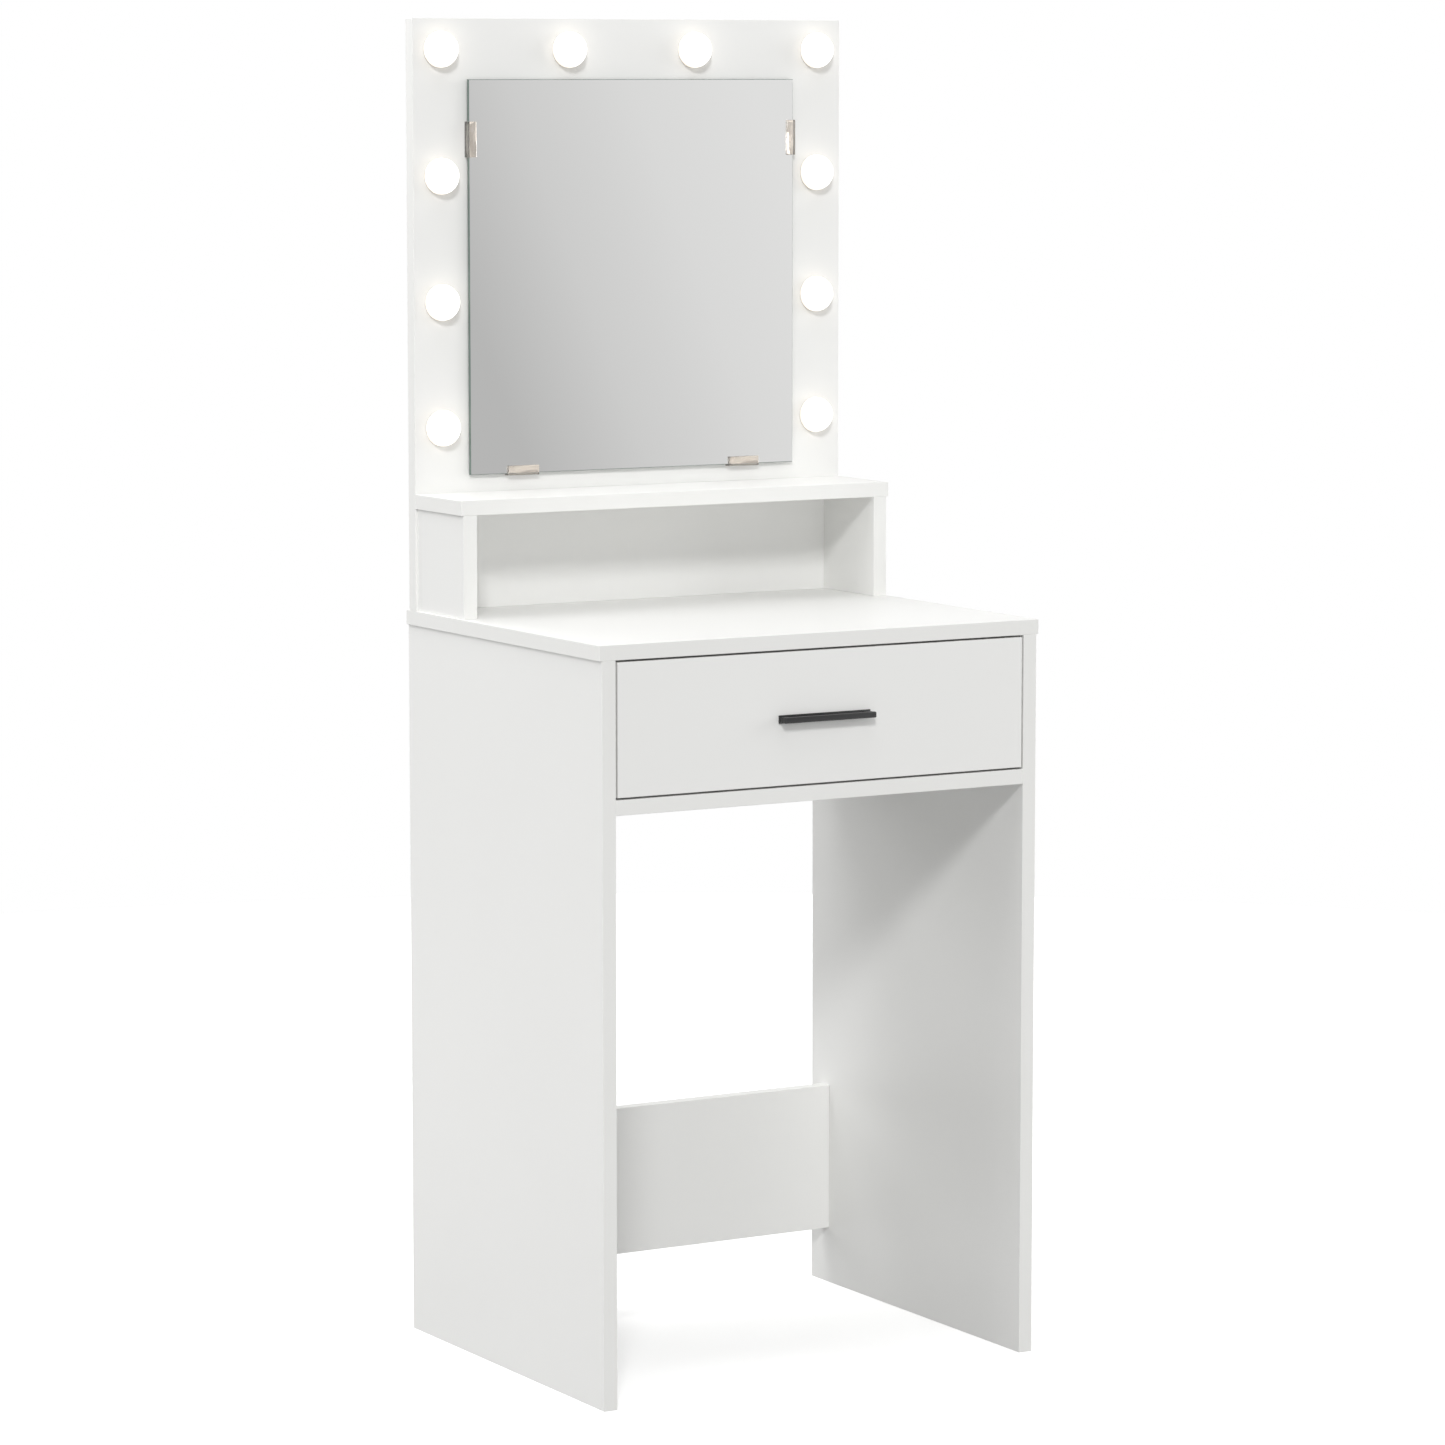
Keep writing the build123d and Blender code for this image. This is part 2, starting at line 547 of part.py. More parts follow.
STRETCHER_TOP = STRETCHER_BOTTOM + STRETCHER_HEIGHT
with BuildPart() as back_stretcher:
    add(board((-PANEL_INNER, BAY_BACK_FRONT, STRETCHER_BOTTOM), (PANEL_INNER, REAR_PLANE, STRETCHER_TOP)))
    with Locations(*rear_cams):
        add(cam_bore.part, mode=Mode.SUBTRACT)
    with Locations(*rear_dowels):
        add(dowel_bore.part, mode=Mode.SUBTRACT)
finish(back_stretcher, "back_stretcher")

# ---------------------------------------------------------------- mirror board and open shelf
GLASS_BACK = MIRROR_BOARD_FRONT - GLASS_STANDOFF
MIRROR_EDGE = MIRROR_WIDTH / 2
clip_seats = [
    joint_at((-MIRROR_EDGE, MIRROR_BOARD_FRONT, MIRROR_TOP - CLIP_INSET), TO_FRONT, (1, 0, 0)),
    joint_at((MIRROR_EDGE, MIRROR_BOARD_FRONT, MIRROR_TOP - CLIP_INSET), TO_FRONT, (-1, 0, 0)),
    joint_at((-MIRROR_EDGE + CLIP_INSET, MIRROR_BOARD_FRONT, MIRROR_BOTTOM), TO_FRONT, UP),
    joint_at((MIRROR_EDGE - CLIP_INSET, MIRROR_BOARD_FRONT, MIRROR_BOTTOM), TO_FRONT, UP),
]
clip_screw_local = Location((CLIP_SCREW_PLACE, 0, GLASS_STANDOFF))
clip_screws_at = [seat * clip_screw_local for seat in clip_seats]

with BuildPart() as mirror_board:
    add(board((-WIDTH / 2, MIRROR_BOARD_FRONT, TABLE_HEIGHT), (WIDTH / 2, MIRROR_BOARD_BACK, TOTAL_HEIGHT)))
    for x, z in lamp_places:
        with BuildSketch(Plane(origin=(x, MIRROR_BOARD_BACK, z), z_dir=TO_FRONT)):
            Circle(STEM_RADIUS + FREE_GAP)
        extrude(amount=BOARD, mode=Mode.SUBTRACT)
    with Locations(*mirror_board_screws, *shelf_screws, *cubby_screws):
        add(board_screw_bore, mode=Mode.SUBTRACT)
    with Locations(*mirror_board_dowels):
        add(dowel_bore.part, mode=Mode.SUBTRACT)
    with Locations(*clip_screws_at):
        add(tiny_screw_bore, mode=Mode.SUBTRACT)
finish(mirror_board, "mirror_board")

for name, side in SIDES:
    near, far = span(side, PANEL_INNER, PANEL_OUTER)
    with BuildPart() as cubby_side:
        add(board((near, SHELF_FRONT, TABLE_HEIGHT), (far, MIRROR_BOARD_FRONT, SHELF_UNDERSIDE)))
        with Locations(*cubby_dowels):
            add(dowel_bore.part, mode=Mode.SUBTRACT)
        with Locations(*cubby_screws):
            add(board_screw_bore, mode=Mode.SUBTRACT)
    finish(cubby_side, f"cubby_{name}_side")

with BuildPart() as cubby_shelf:
    shelf_low = (-WIDTH / 2, SHELF_FRONT, SHELF_UNDERSIDE)
    add(board(shelf_low, (WIDTH / 2, MIRROR_BOARD_FRONT, SHELF_UNDERSIDE + BOARD)))
    with Locations(*cubby_dowels):
        add(dowel_bore.part, mode=Mode.SUBTRACT)
    with Locations(*shelf_screws):
        add(board_screw_bore, mode=Mode.SUBTRACT)
finish(cubby_shelf, "cubby_shelf")

with BuildPart() as mirror_glass:
    with BuildSketch(Plane.XZ.offset(-GLASS_BACK)):
        with Locations((0, (MIRROR_BOTTOM + MIRROR_TOP) / 2)):
            Rectangle(MIRROR_WIDTH, MIRROR_TOP - MIRROR_BOTTOM)
    extrude(amount=GLASS_THICKNESS)
    chamfer(mirror_glass.faces().sort_by(Axis.Y)[0].edges(), GLASS_CHAMFER)
finish(mirror_glass, "mirror_glass")

# a U-shaped clip: tab behind the glass, wall past its edge, lip over its front
LIP_BACK = GLASS_STANDOFF + GLASS_THICKNESS
WALL_OUTER = -CLIP_EDGE_GAP - CLIP_WALL
with BuildPart() as mirror_clip:
    with BuildSketch(Plane.XZ.offset(-CLIP_LENGTH / 2)):
        with BuildLine():
            Polyline(
                (WALL_OUTER, 0),
                (CLIP_TAB, 0),
                (CLIP_TAB, GLASS_STANDOFF),
                (-CLIP_EDGE_GAP, GLASS_STANDOFF),
                (-CLIP_EDGE_GAP, LIP_BACK),
                (CLIP_LIP, LIP_BACK),
                (CLIP_LIP, LIP_BACK + CLIP_WALL),
                (WALL_OUTER, LIP_BACK + CLIP_WALL),
                close=True,
            )
        make_face()
    extrude(amount=CLIP_LENGTH)
    fillet(mirror_clip.edges().filter_by(Axis.Y).group_by(Axis.Z)[-1], CLIP_EDGE_RADIUS)
    with Locations(clip_screw_local):
        add(tiny_screw_bore, mode=Mode.SUBTRACT)
with BuildPart() as mirror_clips:
    with Locations(*clip_seats):
        add(mirror_clip.part)
finish(mirror_clips, "mirror_clips")

with BuildPart() as mirror_clip_screws:
    with Locations(*clip_screws_at):
        add(tiny_screw)
finish(mirror_clip_screws, "mirror_clip_screws")

with BuildPart() as mirror_foam_pads:
    with BuildSketch(Plane.XZ.offset(-MIRROR_BOARD_FRONT)):
        with Locations((0, (MIRROR_BOTTOM + MIRROR_TOP) / 2)):
            with GridLocations(PAD_SPACING_X, PAD_SPACING_Z, PAD_COLUMNS, PAD_ROWS):
                Rectangle(PAD_LENGTH, PAD_HEIGHT)
    extrude(amount=GLASS_STANDOFF)
finish(mirror_foam_pads, "mirror_foam_pads")

# ---------------------------------------------------------------- lamps, local +Z out of the board
LENS_SEAT_TOP = LAMP_BASE_HEIGHT + LENS_SEAT_HEIGHT
with BuildPart() as lamp_base:
    add(
        turned(
            [
                (STEM_BORE, -BOARD - STEM_PAST_BOARD),
                (STEM_RADIUS, -BOARD - STEM_PAST_BOARD),
                (STEM_RADIUS, 0),
                (LAMP_BASE_RADIUS, 0),
                (LAMP_BASE_RADIUS, LAMP_BASE_HEIGHT),
                (LENS_SEAT_RADIUS, LAMP_BASE_HEIGHT),
                (LENS_SEAT_RADIUS, LENS_SEAT_TOP),
                (LENS_SEAT_RADIUS - LENS_SEAT_WALL, LENS_SEAT_TOP),
                (LENS_SEAT_RADIUS - LENS_SEAT_WALL, LAMP_BASE_HEIGHT),
                (STEM_BORE, LAMP_BASE_HEIGHT),
            ]
        )
    )
with BuildPart() as lamp_bases:
    with Locations(*lamp_seats):
        add(lamp_base.part)
finish(lamp_bases, "lamp_bases")

with BuildPart() as lamp_lens:
    with BuildSketch(Plane.XZ):
        with Locations((0, LAMP_BASE_HEIGHT)):
            Circle(LENS_RADIUS)
            Circle(LENS_RADIUS - LENS_WALL, mode=Mode.SUBTRACT)
            Rectangle(LENS_RADIUS, LENS_RADIUS, align=(Align.MIN, Align.MIN), mode=Mode.INTERSECT)
    revolve(axis=Axis.Z)
with BuildPart() as lamp_lenses:
    with Locations(*lamp_seats):
        add(lamp_lens.part)
finish(lamp_lenses, "lamp_lenses")

with BuildPart() as led_board:
    with BuildSketch(Plane.XY.offset(LAMP_BASE_HEIGHT)):
        Circle(LED_BOARD_RADIUS)
    extrude(amount=LED_BOARD_THICKNESS)
    with BuildSketch(Plane.XY.offset(LAMP_BASE_HEIGHT + LED_BOARD_THICKNESS)):
        with PolarLocations(LED_CHIP_CIRCLE, LED_CHIPS):
            Rectangle(LED_CHIP, LED_CHIP)
    extrude(amount=LED_CHIP_HEIGHT)
with BuildPart() as lamp_led_boards:
    with Locations(*lamp_seats):
        add(led_board.part)
finish(lamp_led_boards, "lamp_led_boards")

with BuildPart() as lamp_nut:
    with BuildSketch(Plane.XY.offset(-BOARD)):
        RegularPolygon(NUT_ACROSS_CORNERS, 6)
        Circle(STEM_RADIUS + HOLE_CLEARANCE, mode=Mode.SUBTRACT)
    extrude(amount=-STEM_PAST_BOARD)
with BuildPart() as lamp_nuts:
    with Locations(*lamp_seats):
        add(lamp_nut.part)
finish(lamp_nuts, "lamp_nuts")

with BuildPart() as wiring_harness:
    for run in wire_runs:
        add(wire(run, None, WIRE_RADIUS))
    add(wire(lead_points, LEAD_RADII, WIRE_RADIUS))
finish(wiring_harness, "wiring_harness")

with BuildPart() as lamp_rear_caps:
    for x, z in lamp_places:
        with BuildSketch(Plane(origin=(x, MIRROR_BOARD_BACK, z), z_dir=TO_BACK)):
            Circle(CAP_RADIUS)
        extrude(amount=CAP_HEIGHT)
        with BuildSketch(Plane(origin=(x, MIRROR_BOARD_BACK, z), z_dir=TO_BACK)):
            Circle(CAP_RADIUS - CAP_WALL)
        extrude(amount=CAP_HEIGHT - CAP_WALL, mode=Mode.SUBTRACT)
    for run in wire_runs:
        add(wire(run, None, WIRE_RADIUS + FREE_GAP), mode=Mode.SUBTRACT)
    add(wire(lead_points, LEAD_RADII, WIRE_RADIUS + FREE_GAP), mode=Mode.SUBTRACT)
finish(lamp_rear_caps, "lamp_rear_caps")

saddles_at = []
for start, end in wire_runs:
    middle = (start + end) / 2
    along = (end - start).normalized()
    saddles_at.append(Plane(origin=(middle.X, MIRROR_BOARD_BACK, middle.Z), x_dir=along, z_dir=TO_BACK))
for x, z in ((LAMP_X, LEAD_SADDLE_HIGH_Z), (LEAD_X, LEAD_SADDLE_LOW_Z)):
    saddles_at.append(Plane(origin=(x, MIRROR_BOARD_BACK, z), x_dir=UP, z_dir=TO_BACK))
with BuildPart() as saddle:
    with BuildSketch(Plane.YZ.offset(-SADDLE_LENGTH / 2)):
        with Locations((0, WIRE_STANDOFF)):
            Circle(SADDLE_ARCH)
        Rectangle(SADDLE_WIDTH, SADDLE_BASE, align=(Align.CENTER, Align.MIN))
        Rectangle(SADDLE_WIDTH, SADDLE_WIDTH, align=(Align.CENTER, Align.MAX), mode=Mode.SUBTRACT)
        with Locations((0, WIRE_STANDOFF)):
            Circle(WIRE_RADIUS + HOLE_CLEARANCE, mode=Mode.SUBTRACT)
    extrude(amount=SADDLE_LENGTH)
with BuildPart() as harness_clips:
    with Locations(*[plane.location for plane in saddles_at]):
        add(saddle.part)
finish(harness_clips, "harness_clips")

# ---------------------------------------------------------------- lamp driver behind the drawer bay
POST_SPACING_X = CIRCUIT_WIDTH - 2 * CIRCUIT_POST_INSET
POST_SPACING_Z = CIRCUIT_HEIGHT - 2 * CIRCUIT_POST_INSET
INLET_ORIGIN = (LEAD_X, REAR_PLANE + INLET_HEIGHT, DRIVER_TOP - DRIVER_HEIGHT)
with BuildPart() as driver_housing:
    with BuildSketch(driver_plane):
        Rectangle(DRIVER_WIDTH, DRIVER_HEIGHT)
    extrude(amount=DRIVER_TRAY_DEPTH)
    with BuildSketch(driver_plane.offset(DRIVER_WALL)):
        Rectangle(DRIVER_WIDTH - 2 * DRIVER_WALL, DRIVER_HEIGHT - 2 * DRIVER_WALL)
    extrude(amount=DRIVER_TRAY_DEPTH, mode=Mode.SUBTRACT)
    with BuildSketch(driver_plane.offset(DRIVER_WALL)):
        with GridLocations(POST_SPACING_X, POST_SPACING_Z, 2, 2):
            Circle(CIRCUIT_POST_RADIUS)
    extrude(amount=CIRCUIT_POST_HEIGHT)
    with BuildSketch(driver_plane):
        with GridLocations(2 * EAR_CENTRE, 0, 2, 1):
            Rectangle(EAR_LENGTH, EAR_WIDTH)
    extrude(amount=EAR_THICKNESS)
    with Locations(*driver_screws_at):
        add(small_screw_bore, mode=Mode.SUBTRACT)
    # wire entry in the top wall, inlet hole in the bottom wall
    with BuildSketch(Plane(origin=(LEAD_X, DRIVER_WIRE_Y, DRIVER_TOP), z_dir=DOWN)):
        Circle(WIRE_RADIUS + HOLE_CLEARANCE)
    extrude(amount=DRIVER_WALL, mode=Mode.SUBTRACT)
    with BuildSketch(Plane(origin=INLET_ORIGIN)):
        Circle(INLET_RADIUS + HOLE_CLEARANCE)
    extrude(amount=DRIVER_WALL, mode=Mode.SUBTRACT)
finish(driver_housing, "driver_housing")

COVER_LIP_INSET = 2 * (DRIVER_WALL + FREE_GAP)
with BuildPart() as driver_cover:
    with BuildSketch(driver_plane.offset(DRIVER_TRAY_DEPTH)):
        Rectangle(DRIVER_WIDTH, DRIVER_HEIGHT)
    extrude(amount=DRIVER_WALL)
    chamfer(driver_cover.faces().sort_by(Axis.Y)[-1].edges(), COVER_CHAMFER)
    with BuildSketch(driver_plane.offset(DRIVER_TRAY_DEPTH)):
        Rectangle(DRIVER_WIDTH - COVER_LIP_INSET, DRIVER_HEIGHT - COVER_LIP_INSET)
        offset(amount=-DRIVER_WALL, kind=Kind.INTERSECTION, mode=Mode.SUBTRACT)
    extrude(amount=-COVER_LIP_DEPTH)
    # the lip stops short of the wire and of the inlet
    with BuildSketch(driver_plane.offset(DRIVER_TRAY_DEPTH)):
        Rectangle(COVER_LIP_BREAK, DRIVER_HEIGHT)
    extrude(amount=-COVER_LIP_DEPTH, mode=Mode.SUBTRACT)
finish(driver_cover, "driver_cover")

CIRCUIT_FACE = DRIVER_WALL + CIRCUIT_POST_HEIGHT + CIRCUIT_THICKNESS
with BuildPart() as driver_circuit_board:
    with BuildSketch(driver_plane.offset(CIRCUIT_FACE - CIRCUIT_THICKNESS)):
        Rectangle(CIRCUIT_WIDTH, CIRCUIT_HEIGHT)
    extrude(amount=CIRCUIT_THICKNESS)
    # coil, capacitors and control chip
    with BuildSketch(driver_plane.offset(CIRCUIT_FACE)):
        with Locations(COIL_PLACE):
            Rectangle(COIL_LENGTH, COIL_WIDTH)
    extrude(amount=COIL_HEIGHT)
    with BuildSketch(driver_plane.offset(CIRCUIT_FACE)):
        with Locations(*CAPACITOR_PLACES):
            Circle(CAPACITOR_RADIUS)
    extrude(amount=CAPACITOR_HEIGHT)
    with BuildSketch(driver_plane.offset(CIRCUIT_FACE)):
        with Locations(CHIP_PLACE):
            Rectangle(CHIP_LENGTH, CHIP_WIDTH)
    extrude(amount=CHIP_HEIGHT)
finish(driver_circuit_board, "driver_circuit_board")

inlet_plane = Plane(origin=INLET_ORIGIN, z_dir=UP)
with BuildPart() as power_inlet:
    with BuildSketch(inlet_plane.offset(-INLET_FLANGE)):
        Circle(INLET_FLANGE_RADIUS)
    extrude(amount=INLET_FLANGE)
    with BuildSketch(inlet_plane):
        Circle(INLET_RADIUS)
    extrude(amount=INLET_DEPTH)
    with BuildSketch(inlet_plane.offset(-INLET_FLANGE)):
        Circle(INLET_SOCKET_RADIUS)
        Circle(INLET_PIN_RADIUS, mode=Mode.SUBTRACT)
    extrude(amount=INLET_SOCKET_DEPTH, mode=Mode.SUBTRACT)
finish(power_inlet, "power_inlet")

with BuildPart() as driver_screws:
    with Locations(*driver_screws_at):
        add(small_screw)
finish(driver_screws, "driver_screws")

# ---------------------------------------------------------------- carcass fittings
with BuildPart() as cam_bolts:
    with Locations(*top_cams, *floor_cams, *rear_cams):
        add(cam_bolt.part)
finish(cam_bolts, "cam_bolts")

with BuildPart() as cam_discs:
    with Locations(*top_cams, *floor_cams, *rear_cams):
        add(cam_disc.part)
finish(cam_discs, "cam_discs")

with BuildPart() as wood_dowels:
    with Locations(*top_dowels, *floor_dowels, *rear_dowels, *cubby_dowels, *mirror_board_dowels):
        add(dowel.part)
finish(wood_dowels, "wood_dowels")

with BuildPart() as board_screws:
    with Locations(*mirror_board_screws, *shelf_screws, *cubby_screws):
        add(board_screw)
finish(board_screws, "board_screws")

# ---------------------------------------------------------------- drawer box
drawer_cams, drawer_screws_at, drawer_runner_screws_at = [], [], []
for _, side in SIDES:
    outward = (side, 0, 0)
    for height in DRAWER_FITTING_HEIGHTS:
        cam_seat = (side * (DRAWER_OUTER - BOARD / 2), DRAWER_FRONT_BACK, height)
        drawer_cams.append(joint_at(cam_seat, TO_FRONT, outward))
        screw_seat = (side * DRAWER_OUTER, DRAWER_REAR - BOARD / 2, height)
        drawer_screws_at.append(joint_at(screw_seat, outward, UP))
    for place in DRAWER_RUNNER_SCREW_PLACES:
        face = side * (DRAWER_OUTER + RUNNER_SHEET)
        seat = (face, DRAWER_FRONT_BACK + place, DRAWER_SIDE_BOTTOM + DRAWER_RUNNER_SCREW_RISE)
        drawer_runner_screws_at.append(joint_at(seat, outward, UP))

handle_screws_at = [(sign * HANDLE_HOLE_SPACING / 2, HANDLE_CENTRE_Z) for _, sign in SIDES]
GROOVE_TOP = GROOVE_BOTTOM + DRAWER_BOTTOM_THICKNESS
with BuildPart() as drawer_front:
    front_low = (-DRAWER_FRONT_WIDTH / 2, FRONT, DRAWER_FRONT_BOTTOM)
    add(board(front_low, (DRAWER_FRONT_WIDTH / 2, DRAWER_FRONT_BACK, DRAWER_FRONT_TOP)))
    # groove for the drawer's bottom
    groove_x = DRAWER_INNER + GROOVE_DEPTH
    groove_low = (-groove_x, DRAWER_FRONT_BACK - GROOVE_DEPTH, GROOVE_BOTTOM - HOLE_CLEARANCE)
    add(board(groove_low, (groove_x, DRAWER_FRONT_BACK, GROOVE_TOP + HOLE_CLEARANCE)), mode=Mode.SUBTRACT)
    with Locations(*drawer_cams):
        add(cam_bore.part, mode=Mode.SUBTRACT)
    with BuildSketch(Plane.XZ.offset(-DRAWER_FRONT_BACK)):
        with Locations(*handle_screws_at):
            Circle(HANDLE_BOLT_RADIUS + FREE_GAP)
    extrude(amount=BOARD, mode=Mode.SUBTRACT)
finish(drawer_front, "drawer_front")

for name, side in SIDES:
    near, far = span(side, DRAWER_INNER, DRAWER_OUTER)
    groove_near, groove_far = span(side, DRAWER_INNER, DRAWER_INNER + GROOVE_DEPTH)
    with BuildPart() as drawer_side:
        side_low = (near, DRAWER_FRONT_BACK, DRAWER_SIDE_BOTTOM)
        add(board(side_low, (far, DRAWER_REAR, DRAWER_SIDE_BOTTOM + DRAWER_SIDE_HEIGHT)))
        groove_low = (groove_near, DRAWER_FRONT_BACK, GROOVE_BOTTOM - HOLE_CLEARANCE)
        groove_high = (groove_far, DRAWER_REAR, GROOVE_TOP + HOLE_CLEARANCE)
        add(board(groove_low, groove_high), mode=Mode.SUBTRACT)
        with Locations(*drawer_cams):
            add(cam_bore.part, mode=Mode.SUBTRACT)
        with Locations(*drawer_screws_at):
            add(board_screw_bore, mode=Mode.SUBTRACT)
        with Locations(*drawer_runner_screws_at):
            add(small_screw_bore, mode=Mode.SUBTRACT)
    finish(drawer_side, f"drawer_{name}_side")

DRAWER_BACK_FRONT = DRAWER_REAR - BOARD
with BuildPart() as drawer_back:
    back_low = (-DRAWER_INNER, DRAWER_BACK_FRONT, DRAWER_SIDE_BOTTOM)
    add(board(back_low, (DRAWER_INNER, DRAWER_REAR, DRAWER_SIDE_BOTTOM + DRAWER_SIDE_HEIGHT)))
    groove_low = (-DRAWER_INNER, DRAWER_BACK_FRONT, GROOVE_BOTTOM - HOLE_CLEARANCE)
    groove_high = (DRAWER_INNER, DRAWER_BACK_FRONT + GROOVE_DEPTH, GROOVE_TOP + HOLE_CLEARANCE)
    add(board(groove_low, groove_high), mode=Mode.SUBTRACT)
    with Locations(*drawer_screws_at):
        add(board_screw_bore, mode=Mode.SUBTRACT)
finish(drawer_back, "drawer_back")

BOTTOM_ENTRY = GROOVE_DEPTH - DRAWER_BOTTOM_PLAY
with BuildPart() as drawer_bottom:
    bottom_x = DRAWER_INNER + BOTTOM_ENTRY
    bottom_low = (-bottom_x, DRAWER_FRONT_BACK - BOTTOM_ENTRY, GROOVE_BOTTOM)
    add(board(bottom_low, (bottom_x, DRAWER_BACK_FRONT + BOTTOM_ENTRY, GROOVE_TOP)))
finish(drawer_bottom, "drawer_bottom")

# ---------------------------------------------------------------- handle: back plate, two posts and the bar
HANDLE_FACE = FRONT - HANDLE_PROJECTION
with BuildPart() as drawer_handle:
    with BuildSketch(Plane.XZ.offset(-FRONT)):
        with Locations((0, HANDLE_CENTRE_Z)):
            Rectangle(HANDLE_LENGTH, HANDLE_PLATE_HEIGHT)
    extrude(amount=HANDLE_PLATE_THICKNESS)
    with BuildSketch(Plane.XZ.offset(-HANDLE_FACE)):
        with Locations((0, HANDLE_CENTRE_Z)):
            Rectangle(HANDLE_LENGTH, HANDLE_BAR_HEIGHT)
    extrude(amount=-HANDLE_BAR_DEPTH)
    fillet(drawer_handle.faces().sort_by(Axis.Y)[0].edges(), HANDLE_EDGE_RADIUS)
    with BuildSketch(Plane.XZ.offset(-FRONT)):
        with Locations((0, HANDLE_CENTRE_Z)):
            with GridLocations(HANDLE_LENGTH - HANDLE_POST_WIDTH, 0, 2, 1):
                Rectangle(HANDLE_POST_WIDTH, HANDLE_POST_HEIGHT)
    extrude(amount=HANDLE_PROJECTION - HANDLE_BAR_DEPTH)
    with BuildSketch(Plane.XZ.offset(-FRONT)):
        with Locations(*handle_screws_at):
            Circle(HANDLE_BOLT_RADIUS + HOLE_CLEARANCE)
    extrude(amount=HANDLE_THREAD_DEPTH, mode=Mode.SUBTRACT)
finish(drawer_handle, "drawer_handle")

HANDLE_BOLT_LENGTH = BOARD + HANDLE_THREAD_DEPTH - FREE_GAP
handle_bolt = turned(
    [
        (0, HANDLE_BOLT_HEAD),
        (HANDLE_BOLT_CROWN_RADIUS, HANDLE_BOLT_HEAD),
        (HANDLE_BOLT_HEAD_RADIUS, HANDLE_BOLT_HEAD / 2),
        (HANDLE_BOLT_HEAD_RADIUS, 0),
        (HANDLE_BOLT_RADIUS, 0),
        (HANDLE_BOLT_RADIUS, -HANDLE_BOLT_LENGTH),
        (0, -HANDLE_BOLT_LENGTH),
    ]
)
with BuildPart() as handle_screws:
    with Locations(*[joint_at((x, DRAWER_FRONT_BACK, z), TO_BACK) for x, z in handle_screws_at]):
        add(handle_bolt)
    with BuildSketch(Plane.XZ.offset(-DRAWER_FRONT_BACK - HANDLE_BOLT_HEAD)):
        with Locations(*handle_screws_at):
            Rectangle(HANDLE_BOLT_HEAD_RADIUS, HANDLE_BOLT_SLOT)
            Rectangle(HANDLE_BOLT_SLOT, HANDLE_BOLT_HEAD_RADIUS)
    extrude(amount=HANDLE_BOLT_SLOT_DEPTH, mode=Mode.SUBTRACT)
finish(handle_screws, "handle_screws")

# ---------------------------------------------------------------- drawer fittings
with BuildPart() as drawer_cam_bolts:
    with Locations(*drawer_cams):
        add(cam_bolt.part)
finish(drawer_cam_bolts, "drawer_cam_bolts")

with BuildPart() as drawer_cam_discs:
    with Locations(*drawer_cams):
        add(cam_disc.part)
finish(drawer_cam_discs, "drawer_cam_discs")

with BuildPart() as drawer_screws:
    with Locations(*drawer_screws_at):
        add(board_screw)
finish(drawer_screws, "drawer_screws")

# ---------------------------------------------------------------- roller runners
FRONT_ROLLER_Y = CABINET_RUNNER_FRONT + ROLLER_END_SETBACK
FRONT_ROLLER_Z = FLANGE_UNDERSIDE - ROLLER_TREAD_GAP - ROLLER_RADIUS
DRAWER_RUNNER_REAR = DRAWER_FRONT_BACK + RUNNER_LENGTH
REAR_ROLLER_Y = DRAWER_RUNNER_REAR - ROLLER_END_SETBACK
REAR_ROLLER_Z = CHANNEL_FLOOR + ROLLER_TREAD_GAP + ROLLER_RADIUS
TAB_DROP = REAR_ROLLER_Z - CHANNEL_FLOOR - STOP_TAB_HEIGHT
TAB_REACH = (ROLLER_RADIUS**2 - TAB_DROP**2) ** 0.5
STOP_TAB_BACK = REAR_ROLLER_Y - DRAWER_TRAVEL - TAB_REACH - ROLLER_TREAD_GAP

